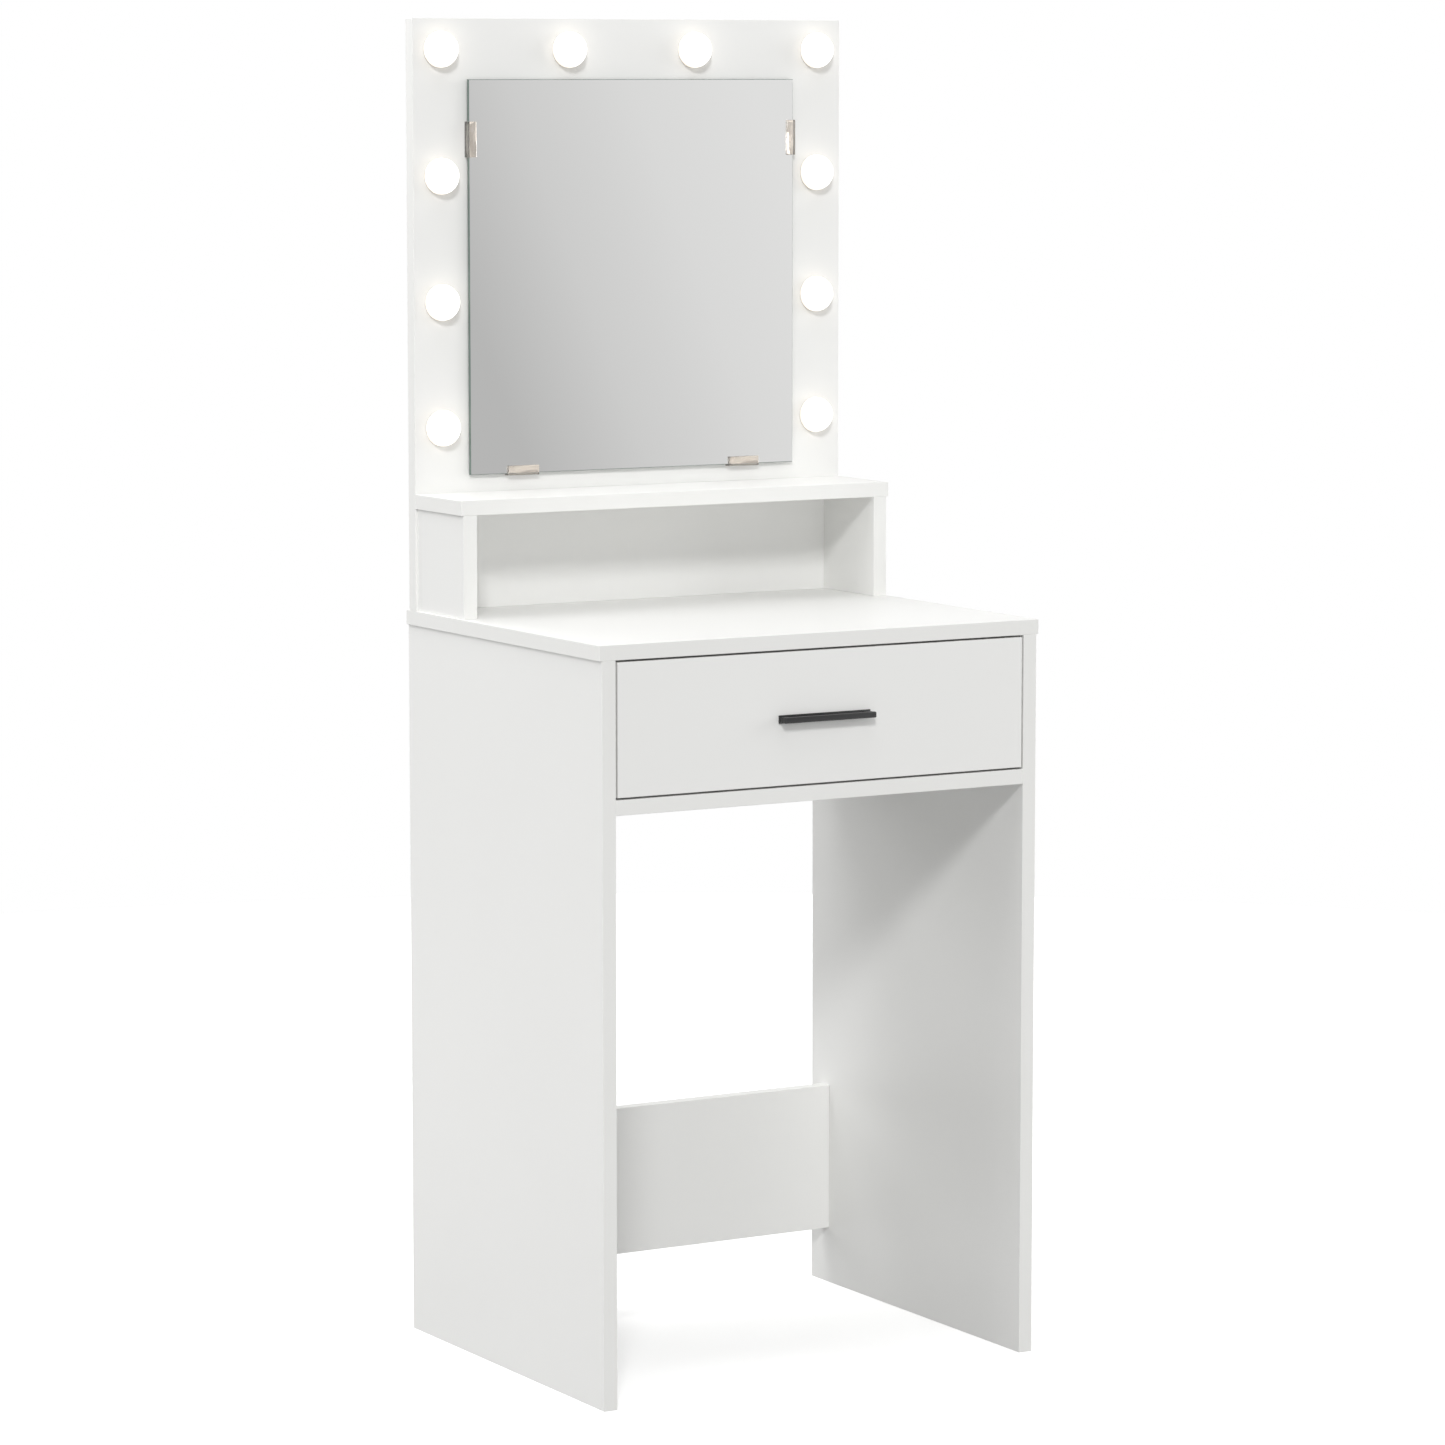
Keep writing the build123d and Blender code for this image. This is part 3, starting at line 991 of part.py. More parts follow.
cabinet_runner_screws_at = []
for name, side in SIDES:
    web = side * PANEL_INNER
    screws_here = []
    for place in RUNNER_SCREW_PLACES:
        seat = (side * (PANEL_INNER - RUNNER_SHEET), CABINET_RUNNER_FRONT + place, CHANNEL_MIDDLE)
        screws_here.append(joint_at(seat, (-side, 0, 0), UP))
    cabinet_runner_screws_at += screws_here
    with BuildPart() as cabinet_runner:
        # channel section: web against the side panel, flanges towards the drawer
        with BuildSketch(Plane.XZ.offset(-CABINET_RUNNER_FRONT)):
            with BuildLine():
                Polyline(
                    (web, CHANNEL_FLOOR - RUNNER_SHEET),
                    (web - side * CHANNEL_WIDTH, CHANNEL_FLOOR - RUNNER_SHEET),
                    (web - side * CHANNEL_WIDTH, CHANNEL_FLOOR),
                    (web - side * RUNNER_SHEET, CHANNEL_FLOOR),
                    (web - side * RUNNER_SHEET, CHANNEL_TOP),
                    (web - side * CHANNEL_WIDTH, CHANNEL_TOP),
                    (web - side * CHANNEL_WIDTH, CHANNEL_TOP + RUNNER_SHEET),
                    (web, CHANNEL_TOP + RUNNER_SHEET),
                    close=True,
                )
            make_face()
        extrude(amount=-RUNNER_LENGTH)
        # the top flange is cut away over the front roller
        cut_near, cut_far = span(side, PANEL_INNER - RUNNER_SHEET, PANEL_INNER - CHANNEL_WIDTH)
        cut_low = (cut_near, CABINET_RUNNER_FRONT, CHANNEL_TOP)
        cut_high = (cut_far, CABINET_RUNNER_FRONT + TOP_FLANGE_CUT, CHANNEL_TOP + RUNNER_SHEET)
        add(board(cut_low, cut_high), mode=Mode.SUBTRACT)
        # bent-up tab that stops the drawer's rear roller
        tab_low = (cut_near, STOP_TAB_BACK - RUNNER_SHEET, CHANNEL_FLOOR)
        add(board(tab_low, (cut_far, STOP_TAB_BACK, CHANNEL_FLOOR + STOP_TAB_HEIGHT)))
        with BuildSketch(Plane(origin=(web, FRONT_ROLLER_Y, FRONT_ROLLER_Z), z_dir=(-side, 0, 0))):
            Circle(AXLE_RADIUS + AXLE_RIVET_FIT)
        extrude(amount=RUNNER_SHEET, mode=Mode.SUBTRACT)
        with Locations(*screws_here):
            add(small_screw_bore, mode=Mode.SUBTRACT)
    finish(cabinet_runner, f"{name}_cabinet_runner")

    with BuildPart() as drawer_runner:
        # web on the drawer side, flange under it, and the outward flange that rides on the front roller
        inner = side * (DRAWER_OUTER - DRAWER_FLANGE_WIDTH)
        drawer_web = side * DRAWER_OUTER
        web_face = side * (DRAWER_OUTER + RUNNER_SHEET)
        tip = side * (PANEL_INNER - FLANGE_TIP)
        with BuildSketch(Plane.XZ.offset(-DRAWER_FRONT_BACK)):
            with BuildLine():
                Polyline(
                    (inner, DRAWER_SIDE_BOTTOM - RUNNER_SHEET),
                    (web_face, DRAWER_SIDE_BOTTOM - RUNNER_SHEET),
                    (web_face, FLANGE_UNDERSIDE),
                    (tip, FLANGE_UNDERSIDE),
                    (tip, FLANGE_UNDERSIDE + RUNNER_SHEET),
                    (drawer_web, FLANGE_UNDERSIDE + RUNNER_SHEET),
                    (drawer_web, DRAWER_SIDE_BOTTOM),
                    (inner, DRAWER_SIDE_BOTTOM),
                    close=True,
                )
            make_face()
        extrude(amount=-RUNNER_LENGTH)
        with BuildSketch(Plane(origin=(drawer_web, REAR_ROLLER_Y, REAR_ROLLER_Z), z_dir=(side, 0, 0))):
            Circle(AXLE_RADIUS + AXLE_RIVET_FIT)
        extrude(amount=RUNNER_SHEET, mode=Mode.SUBTRACT)
        with Locations(*drawer_runner_screws_at):
            add(small_screw_bore, mode=Mode.SUBTRACT)
    finish(drawer_runner, f"{name}_drawer_runner")

with BuildPart() as cabinet_runner_screws:
    with Locations(*cabinet_runner_screws_at):
        add(small_screw)
finish(cabinet_runner_screws, "cabinet_runner_screws")

with BuildPart() as drawer_runner_screws:
    with Locations(*drawer_runner_screws_at):
        add(small_screw)
finish(drawer_runner_screws, "drawer_runner_screws")

# the drawer's axles start in the drawer runner's web, so their rollers lie this far along them
REAR_ROLLER_NEAR = DRAWER_SIDE_CLEARANCE - REAR_ROLLER_OFFSET - ROLLER_WIDTH
front_axles_at = [
    joint_at((side * PANEL_INNER, FRONT_ROLLER_Y, FRONT_ROLLER_Z), (-side, 0, 0), UP) for _, side in SIDES
]
rear_axles_at = [
    joint_at((side * DRAWER_OUTER, REAR_ROLLER_Y, REAR_ROLLER_Z), (side, 0, 0), UP) for _, side in SIDES
]
with BuildPart() as cabinet_roller_axles:
    with Locations(*front_axles_at):
        add(axle(RUNNER_SHEET, FRONT_ROLLER_OFFSET))
finish(cabinet_roller_axles, "cabinet_roller_axles")

with BuildPart() as drawer_roller_axles:
    with Locations(*rear_axles_at):
        add(axle(RUNNER_SHEET, REAR_ROLLER_NEAR))
finish(drawer_roller_axles, "drawer_roller_axles")

for (name, _), front_axle, rear_axle in zip(SIDES, front_axles_at, rear_axles_at):
    with BuildPart() as front_roller:
        with Locations(front_axle):
            add(roller(FRONT_ROLLER_OFFSET))
    finish(front_roller, f"{name}_front_roller")
    with BuildPart() as rear_roller:
        with Locations(rear_axle):
            add(roller(REAR_ROLLER_NEAR))
    finish(rear_roller, f"{name}_rear_roller")
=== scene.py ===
import logging
import math
from contextlib import contextmanager
from dataclasses import dataclass, field
from enum import Enum
from typing import Callable, Iterator

import bmesh
import bpy
from mathutils import Matrix, Vector


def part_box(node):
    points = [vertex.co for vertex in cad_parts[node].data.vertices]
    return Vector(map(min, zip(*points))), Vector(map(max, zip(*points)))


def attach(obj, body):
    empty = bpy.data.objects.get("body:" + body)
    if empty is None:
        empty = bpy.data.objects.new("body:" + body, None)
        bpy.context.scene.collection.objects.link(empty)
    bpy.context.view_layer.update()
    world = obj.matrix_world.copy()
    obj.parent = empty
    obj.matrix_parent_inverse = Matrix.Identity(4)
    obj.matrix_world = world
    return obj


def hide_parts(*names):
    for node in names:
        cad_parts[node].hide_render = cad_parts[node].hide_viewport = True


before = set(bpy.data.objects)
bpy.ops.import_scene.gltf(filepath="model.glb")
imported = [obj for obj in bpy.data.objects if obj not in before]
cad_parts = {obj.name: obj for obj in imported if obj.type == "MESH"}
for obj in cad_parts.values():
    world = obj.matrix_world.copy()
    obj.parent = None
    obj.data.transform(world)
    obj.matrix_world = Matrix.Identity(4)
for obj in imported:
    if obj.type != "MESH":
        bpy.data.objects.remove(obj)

logging.basicConfig(level=logging.INFO, format="%(message)s")
log = logging.getLogger("vanity")

MM = 0.001
MERGE_GAP = MM / 200
SQUARE_ON = 0.99
SMOOTH_DEGREES = 30.0
POCKET_SIDES = 40
# how far a point or face may be from a place and still count as there: at a corner, and level with a face
CORNER_GAP = 0.1 * MM
LEVEL_GAP = 0.3 * MM
# the Mix node's sockets for its two colours and for its result
MIX_FIRST, MIX_SECOND, MIX_RESULT = 6, 7, 2
CARCASS = "carcass"
DRAWER = "drawer"
SIDES = (("left", -1), ("right", 1))

Box = tuple[Vector, Vector]


class Pick(Enum):
    """What an edit-mode selection is made of."""

    POINTS = "VERT"
    EDGES = "EDGE"
    FACES = "FACE"


class Facing(Enum):
    """A direction along one axis of the frame: axis number and sign."""

    LEFT = (0, -1)
    RIGHT = (0, 1)
    FRONT = (1, -1)
    BACK = (1, 1)
    DOWN = (2, -1)
    UP = (2, 1)

    @property
    def vector(self) -> Vector:
        """The direction as a unit vector."""
        made = Vector((0, 0, 0))
        made[self.value[0]] = self.value[1]
        return made


# ---------------------------------------------------------------- work on the bench: objects and edit mode
def linear(colour: str) -> tuple[float, float, float, float]:
    """Turns an sRGB hex colour into linear values.

    Args:
        colour: six hex digits.

    Returns:
        Linear red, green and blue, and an alpha of 1.
    """
    channels = [int(colour[i:i + 2], 16) / 255 for i in (0, 2, 4)]
    toned = [c / 12.92 if c <= 0.04045 else ((c + 0.055) / 1.055) ** 2.4 for c in channels]
    return (*toned, 1.0)


def take_up(piece: bpy.types.Object) -> None:
    """Makes one object the only one selected, and the active one.

    Args:
        piece: the object.
    """
    bpy.ops.object.select_all(action="DESELECT")
    piece.select_set(True)
    bpy.context.view_layer.objects.active = piece


def placed(name: str) -> bpy.types.Object:
    """Names the primitive that was just added and puts its place into its mesh.

    Args:
        name: the object's name.

    Returns:
        The object, at the origin, unturned and unscaled.
    """
    piece = bpy.context.active_object
    piece.name = name
    piece.data.name = name
    take_up(piece)
    bpy.ops.object.transform_apply(location=True, rotation=True, scale=True)
    return piece


def add_block(name: str, low: Vector, high: Vector) -> bpy.types.Object:
    """Adds a block between two opposite corners.

    Args:
        name: the object's name.
        low: its lowest corner.
        high: its highest corner.

    Returns:
        The block.
    """
    bpy.ops.object.select_all(action="DESELECT")
    low, high = Vector(low), Vector(high)
    bpy.ops.mesh.primitive_cube_add(size=1, location=(low + high) / 2, scale=high - low)
    return placed(name)


def add_rod(
    name: str, start: Vector, facing: Facing, radius: float, length: float, sides: int
) -> bpy.types.Object:
    """Adds a round rod.

    Args:
        name: the object's name.
        start: middle of its first end.
        facing: the way it runs from there.
        radius: its radius.
        length: its length.
        sides: number of sides of its section.

    Returns:
        The rod.
    """
    bpy.ops.object.select_all(action="DESELECT")
    turn = facing.vector.to_track_quat("Z", "Y").to_euler()
    middle = Vector(start) + facing.vector * length / 2
    bpy.ops.mesh.primitive_cylinder_add(
        vertices=sides, radius=radius, depth=length, location=middle, rotation=turn
    )
    return placed(name)


@contextmanager
def editing(piece: bpy.types.Object) -> Iterator[None]:
    """Edit mode on one object, picking points, with nothing selected at the start.

    Args:
        piece: the object.

    Returns:
        A context that leaves edit mode at its end.
    """
    take_up(piece)
    bpy.context.tool_settings.mesh_select_mode = (True, False, False)
    bpy.ops.object.mode_set(mode="EDIT")
    bpy.ops.mesh.select_all(action="DESELECT")
    yield
    bpy.ops.object.mode_set(mode="OBJECT")


def pick(piece: bpy.types.Object, what: Pick, wanted: Callable) -> None:
    """Selects the points, edges or faces of the edited mesh that pass a test, and nothing else.

    Args:
        piece: the object in edit mode.
        what: the kind of element.
        wanted: the test, given one bmesh element.
    """
    bpy.context.tool_settings.mesh_select_mode = [what is kind for kind in Pick]
    bpy.ops.mesh.select_all(action="DESELECT")
    mesh = bmesh.from_edit_mesh(piece.data)
    elements = {Pick.POINTS: mesh.verts, Pick.EDGES: mesh.edges, Pick.FACES: mesh.faces}[what]
    for element in elements:
        if wanted(element):
            element.select_set(True)
    mesh.select_flush_mode()
    bmesh.update_edit_mesh(piece.data)


def ease_edges(
    piece: bpy.types.Object, radius: float, segments: int, wanted: Callable = lambda edge: True
) -> None:
    """Rounds edges of a piece.

    Args:
        piece: the object.
        radius: size of the rounding.
        segments: steps in it.
        wanted: which edges, all of them where not given.
    """
    with editing(piece):
        pick(piece, Pick.EDGES, wanted)
        bpy.ops.mesh.bevel(offset=radius, segments=segments, affect="EDGES")


def runs_along(edge: bmesh.types.BMEdge, facing: Facing) -> bool:
    """Tells whether an edge runs along the axis of a direction."""
    run = (edge.verts[0].co - edge.verts[1].co).normalized()
    return abs(run.dot(facing.vector)) > SQUARE_ON


def close_up(piece: bpy.types.Object, gap: float = MERGE_GAP) -> None:
    """Merges doubled points and turns the faces outwards.

    Args:
        piece: the object.
        gap: how far apart doubled points may be.
    """
    with editing(piece):
        bpy.ops.mesh.select_all(action="SELECT")
        bpy.ops.mesh.remove_doubles(threshold=gap)
        bpy.ops.mesh.normals_make_consistent(inside=False)


def modify(piece: bpy.types.Object, kind: str, **settings: object) -> None:
    """Adds a modifier with its settings and applies it.

    Args:
        piece: the object.
        kind: the modifier's type.
        settings: its attributes and their values.
    """
    modifier = piece.modifiers.new(kind.lower(), kind)
    for name, value in settings.items():
        setattr(modifier, name, value)
    take_up(piece)
    bpy.ops.object.modifier_apply(modifier=modifier.name)


def joined(pieces: list[bpy.types.Object], name: str) -> bpy.types.Object:
    """Joins objects into the first of them.

    Args:
        pieces: the objects.
        name: the joined object's name.

    Returns:
        The joined object.
    """
    take_up(pieces[0])
    for piece in pieces:
        piece.select_set(True)
    if len(pieces) > 1:
        bpy.ops.object.join()
    pieces[0].name = name
    pieces[0].data.name = name
    return pieces[0]


def cut_away(piece: bpy.types.Object, cutters: list[bpy.types.Object]) -> None:
    """Takes the cutters' shapes out of a piece, and the cutters off the bench.

    Args:
        piece: the object that is cut.
        cutters: the objects that cut it; the cut faces get their material.
    """
    if not cutters:
        return
    cutter = joined(cutters, f"{piece.name}_cutter")
    modify(piece, "BOOLEAN", operation="DIFFERENCE", object=cutter, solver="EXACT", material_mode="TRANSFER")
    bpy.data.objects.remove(cutter)


def copied(piece: bpy.types.Object, name: str, place: Matrix) -> bpy.types.Object:
    """Copies a piece with its own mesh, and moves the mesh.

    Args:
        piece: the pattern.
        name: the copy's name.
        place: where the pattern's frame goes.

    Returns:
        The copy.
    """
    made = piece.copy()
    made.data = piece.data.copy()
    made.name = name
    made.data.name = name
    made.data.transform(place)
    bpy.context.scene.collection.objects.link(made)
    return made


def draw_line(name: str, points: list[Vector]) -> bpy.types.Object:
    """Draws a line of edges by extruding one point from corner to corner.

    Args:
        name: the object's name.
        points: the corners.

    Returns:
        An object that holds only the edges.
    """
    bpy.ops.object.select_all(action="DESELECT")
    bpy.ops.mesh.primitive_plane_add(size=MM, location=points[0])
    line = placed(name)
    with editing(line):
        bpy.ops.mesh.select_all(action="SELECT")
        bpy.ops.mesh.merge(type="CENTER")
        for here, there in zip(points, points[1:]):
            bpy.ops.mesh.extrude_region_move(TRANSFORM_OT_translate={"value": there - here})
    return line


def turned(
    name: str, profile: list[tuple[float, float]], steps: int, closed: bool = False
) -> bpy.types.Object:
    """Turns a half section about Z.

    Args:
        name: the object's name.
        profile: the section as (radius, height) points in millimetres.
        steps: steps in the full turn.
        closed: whether the section's last point joins its first.

    Returns:
        The turned piece.
    """
    corners = [Vector((r * MM, 0, z * MM)) for r, z in profile]
    piece = draw_line(name, corners + corners[:1] if closed else corners)
    with editing(piece):
        bpy.ops.mesh.select_all(action="SELECT")
        bpy.ops.mesh.spin(steps=steps, angle=math.tau, center=(0, 0, 0), axis=(0, 0, 1))
    close_up(piece)
    return piece


def shade(piece: bpy.types.Object, degrees: float = 35) -> None:
    """Shades a piece smooth, except where its faces meet at more than the angle given."""
    take_up(piece)
    bpy.ops.object.shade_smooth_by_angle(angle=math.radians(degrees))


def towards(facing: Facing, origin: Vector) -> Matrix:
    """Place of a pattern whose Z axis is to point along facing, with its origin moved."""
    return Matrix.Translation(origin) @ facing.vector.to_track_quat("Z", "Y").to_matrix().to_4x4()


def solids_of(node: str) -> list[Box]:
    """Finds the boxes of the separate solids in a CAD node, on a merged copy of its mesh.

    Args:
        node: the CAD node's name.

    Returns:
        Lowest and highest corner of each solid, ordered from left to right and from the floor up.
    """
    mesh = bmesh.new()
    mesh.from_mesh(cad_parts[node].data)
    bmesh.ops.remove_doubles(mesh, verts=mesh.verts, dist=MERGE_GAP)
    waiting = set(mesh.verts)
    boxes = []
    while waiting:
        found = [waiting.pop()]
        for point in found:
            for edge in point.link_edges:
                other = edge.other_vert(point)
                if other in waiting:
                    waiting.remove(other)
                    found.append(other)
        corners = [Vector([pick_of(p.co[i] for p in found) for i in range(3)]) for pick_of in (min, max)]
        boxes.append((corners[0], corners[1]))
    mesh.free()
    return sorted(boxes, key=lambda box: [round(c / MM) for c in (*box[0], *box[1])])


# ---------------------------------------------------------------- finishes
def add_node(
    tree: bpy.types.NodeTree, kind: str, settings: dict | None = None, inputs: dict | None = None
) -> bpy.types.Node:
    """Adds one node with its settings, values and links.

    Args:
        tree: the node tree.
        kind: the node's type.
        settings: attribute names and their values.
        inputs: input names or numbers, each with a value, or with an output that is linked to it.

    Returns:
        The node.
    """
    node = tree.nodes.new(kind)
    for name, value in (settings or {}).items():
        setattr(node, name, value)
    for name, value in (inputs or {}).items():
        if isinstance(value, bpy.types.NodeSocket):
            tree.links.new(value, node.inputs[name])
        else:
            node.inputs[name].default_value = value
    return node


@dataclass(frozen=True)
class Finish:
    """A surface with a fine grain in its relief and gloss, and a broad, faint change of tone."""

    name: str
    tone: str
    second_tone: str
    roughness: float
    gloss_change: float = 0.05
    grain_mm: float = 1.0
    grain_depth_mm: float = 0.01
    cloud_mm: float = 120.0
    stretch: tuple[float, float, float] = (1.0, 1.0, 1.0)
    metallic: float = 0.0
    shader: dict = field(default_factory=dict)

    def material(self) -> bpy.types.Material:
        """Gives the material of this finish, made the first time it is asked for.

        Returns:
            The material.
        """
        found = bpy.data.materials.get(self.name)
        if found:
            return found
        made = bpy.data.materials.new(self.name)
        made.use_nodes = True
        made.diffuse_color = linear(self.tone)
        tree = made.node_tree
        tree.nodes.clear()
        constant = {"Metallic": self.metallic, **self.shader}
        surface = add_node(tree, "ShaderNodeBsdfPrincipled", inputs=constant)
        add_node(tree, "ShaderNodeOutputMaterial", inputs={"Surface": surface.outputs["BSDF"]})
        self.dress(tree, surface)
        return made

    def place(self, tree: bpy.types.NodeTree) -> bpy.types.NodeSocket:
        """Gives the piece's own coordinates, stretched where the finish has a direction.

        Args:
            tree: the material's node tree.

        Returns:
            The output that holds them.
        """
        where = add_node(tree, "ShaderNodeTexCoord")
        turned_place = add_node(
            tree, "ShaderNodeMapping", inputs={"Vector": where.outputs["Object"], "Scale": self.stretch}
        )
        return turned_place.outputs["Vector"]

    def dress(self, tree: bpy.types.NodeTree, surface: bpy.types.Node) -> None:
        """Adds the tone, gloss and relief.

        Args:
            tree: the material's node tree.
            surface: its shader node.
        """
        place = self.place(tree)
        cloud, grain = (
            add_node(
                tree, "ShaderNodeTexNoise",
                inputs={"Vector": place, "Scale": 1 / (size * MM), "Detail": detail},
            )
            for size, detail in ((self.cloud_mm, 3.0), (self.grain_mm, 2.0))
        )
        self.tones(tree, surface, cloud.outputs["Fac"], grain.outputs["Fac"])

    def tones(
        self,
        tree: bpy.types.NodeTree,
        surface: bpy.types.Node,
        cloud: bpy.types.NodeSocket,
        grain: bpy.types.NodeSocket,
    ) -> None:
        """Links tone to the broad pattern, and gloss and relief to the fine one.

        Args:
            tree: the material's node tree.
            surface: its shader node.
            cloud: the broad pattern, from 0 to 1.
            grain: the fine pattern, from 0 to 1.
        """
        tone = add_node(
            tree,
            "ShaderNodeMix",
            {"data_type": "RGBA"},
            {0: cloud, MIX_FIRST: linear(self.tone), MIX_SECOND: linear(self.second_tone)},
        )
        gloss = add_node(
            tree,
            "ShaderNodeMapRange",
            inputs={
                "Value": grain,
                "To Min": self.roughness - self.gloss_change,
                "To Max": self.roughness + self.gloss_change,
            },
        )
        depth = {"Height": grain, "Distance": self.grain_depth_mm * MM, "Strength": 1.0}
        relief = add_node(tree, "ShaderNodeBump", inputs=depth)
        tree.links.new(tone.outputs[MIX_RESULT], surface.inputs["Base Color"])
        tree.links.new(gloss.outputs["Result"], surface.inputs["Roughness"])
        tree.links.new(relief.outputs["Normal"], surface.inputs["Normal"])


@dataclass(frozen=True)
class Chips(Finish):
    """Pressed wood chips: flat flakes of several browns with dark gaps between them."""

    chip_mm: float = 2.6

    def dress(self, tree: bpy.types.NodeTree, surface: bpy.types.Node) -> None:
        """Adds the flakes as cells whose colours and heights differ.

        Args:
            tree: the material's node tree.
            surface: its shader node.
        """
        place = self.place(tree)
        cells = add_node(
            tree, "ShaderNodeTexVoronoi", inputs={"Vector": place, "Scale": 1 / (self.chip_mm * MM)}
        )
        shade_of_cell = add_node(tree, "ShaderNodeSeparateColor", inputs={"Color": cells.outputs["Color"]})
        self.tones(tree, surface, shade_of_cell.outputs["Red"], cells.outputs["Distance"])


@dataclass(frozen=True)
class Grained(Finish):
    """Bare wood with fine lengthwise streaks in broad bands of growth."""

    band_mm: float = 3.0

    def dress(self, tree: bpy.types.NodeTree, surface: bpy.types.Node) -> None:
        """Adds growth bands that a noise bends, and fine streaks.

        Args:
            tree: the material's node tree.
            surface: its shader node.
        """
        place = self.place(tree)
        wave = {"Scale": 1 / (self.band_mm * MM * math.tau), "Distortion": 2.5, "Detail": 2.0}
        bands = add_node(tree, "ShaderNodeTexWave", inputs={"Vector": place, **wave})
        fine = {"Scale": 1 / (self.grain_mm * MM), "Detail": 4.0}
        streaks = add_node(tree, "ShaderNodeTexNoise", inputs={"Vector": place, **fine})
        self.tones(tree, surface, bands.outputs["Fac"], streaks.outputs["Fac"])


@dataclass(frozen=True)
class Glow(Finish):
    """A surface that gives light: dim in its first tone at one place, and full in its second at another."""

    rim_tone: str = "FFE9D0"
    lit_tone: str = "FFFDF8"
    rim_place: float = 0.0
    lit_place: float = 1.0
    rim_power: float = 0.55
    lit_power: float = 1.35

    def measure(self, tree: bpy.types.NodeTree, place: bpy.types.NodeSocket) -> bpy.types.NodeSocket:
        """Gives what the light grows along: the Y coordinate."""
        return add_node(tree, "ShaderNodeSeparateXYZ", inputs={"Vector": place}).outputs["Y"]

    def dress(self, tree: bpy.types.NodeTree, surface: bpy.types.Node) -> None:
        """Adds the body, and light that grows from one place to the other.

        Args:
            tree: the material's node tree.
            surface: its shader node.
        """
        super().dress(tree, surface)
        where = add_node(tree, "ShaderNodeTexCoord")
        grown = self.measure(tree, where.outputs["Object"])
        rise = {"Value": grown, "From Min": self.rim_place, "From Max": self.lit_place}
        share = add_node(tree, "ShaderNodeMapRange", {"interpolation_type": "SMOOTHSTEP"}, rise)
        light = add_node(
            tree,
            "ShaderNodeMix",
            {"data_type": "RGBA"},
            {0: share.outputs["Result"], MIX_FIRST: linear(self.rim_tone), MIX_SECOND: linear(self.lit_tone)},
        )
        power = add_node(
            tree,
            "ShaderNodeMapRange",
            inputs={"Value": share.outputs["Result"], "To Min": self.rim_power, "To Max": self.lit_power},
        )
        tree.links.new(light.outputs[MIX_RESULT], surface.inputs["Emission Color"])
        tree.links.new(power.outputs["Result"], surface.inputs["Emission Strength"])


@dataclass(frozen=True)
class FloorGlow(Glow):
    """A studio floor with painted light: its own glow grows with the distance from its middle."""

    def measure(self, tree: bpy.types.NodeTree, place: bpy.types.NodeSocket) -> bpy.types.NodeSocket:
        """Gives what the light grows along: the distance from the middle."""
        return add_node(tree, "ShaderNodeVectorMath", {"operation": "LENGTH"}, {0: place}).outputs["Value"]


# Melamine paper pressed on chipboard against a finely embossed plate: an even satin white with a pearl
# grain under half a millimetre, drawn at 0.9 mm so that it shows.
MELAMINE = Finish("white_melamine_pearl", "EDEDEB", "EAEAE8", 0.42, 0.05, 0.9, 0.012, 260.0)
# ABS edge banding, extruded and ironed on: a little smoother and glossier than the faces, with faint
# streaks along its length.
BANDING = Finish("white_abs_edge_banding", "ECECEA", "E9E9E6", 0.34, 0.05, 1.4, 0.006, 90.0)
# Sawn chipboard core: flat spruce flakes about 2.6 mm across in resin.
CHIPBOARD = Chips("bare_chipboard_core", "B99A6E", "8F7048", 0.85, 0.05, grain_depth_mm=0.25, cloud_mm=30.0)
# Hardboard with a rolled white lacquer: slightly orange-peeled, matt.
HARDBOARD = Finish("white_lacquered_hardboard", "E9E8E4", "E3E2DD", 0.5, 0.07, 1.8, 0.02, 60.0)
# Silver behind float glass, seen as one near-perfect mirror face with next to no cast of its own.
SILVER = Finish("silvered_glass_face", "EFEFEE", "EEEEED", 0.012, 0.004, 60.0, 0.0, 200.0, metallic=1.0)
# Ground and seamed edge of float glass: grey green and half matt.
GLASS_EDGE = Finish(
    "ground_float_glass_edge", "6F7F79", "596861", 0.3, 0.08, 0.8, 0.03, 15.0, shader={"IOR": 1.52}
)
# Two coats of grey lacquer over the silver on the mirror's back.
MIRROR_BACK = Finish("mirror_backing_lacquer", "7C8486", "70787A", 0.55, 0.06, 1.2, 0.02, 40.0)
# Injection-moulded clear polycarbonate: glossy, slightly warm in its thick parts.
CLEAR_PLASTIC = Finish(
    "clear_polycarbonate_moulding", "FCF8F3", "F8F0E8", 0.07, 0.03, 4.0, 0.004, 10.0,
    shader={"IOR": 1.585, "Transmission Weight": 0.93},
)
# Closed-cell polyethylene foam tape: matt, with cells about 0.5 mm across.
FOAM = Chips("white_foam_tape", "DEDEDA", "CFCFCA", 0.9, 0.03, grain_depth_mm=0.15, chip_mm=0.6)
# Opal acrylic cover, blow moulded and satin, lit by the lamp board behind it: dimmer and warmer at its
# rim, and at full light from 9 mm out.
OPAL = Glow(
    "opal_acrylic_lit", "F7F5F0", "F3F0EA", 0.28, 0.04, 2.0, 0.004, 20.0,
    rim_place=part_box("lamp_lenses")[1].y, lit_place=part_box("lamp_lenses")[1].y - 9 * MM, shader={"IOR": 1.49},
)
# Injection-moulded white ABS with a fine spark-eroded texture.
WHITE_ABS = Finish("white_abs_spark_texture", "E8E8E5", "E3E3DF", 0.46, 0.07, 0.7, 0.02, 30.0)
# White solder mask over copper on glass-epoxy: glossy, with faint weave and traces.
SOLDER_MASK = Finish("white_solder_mask", "DDE2DA", "CFD8CC", 0.3, 0.1, 0.9, 0.02, 6.0)
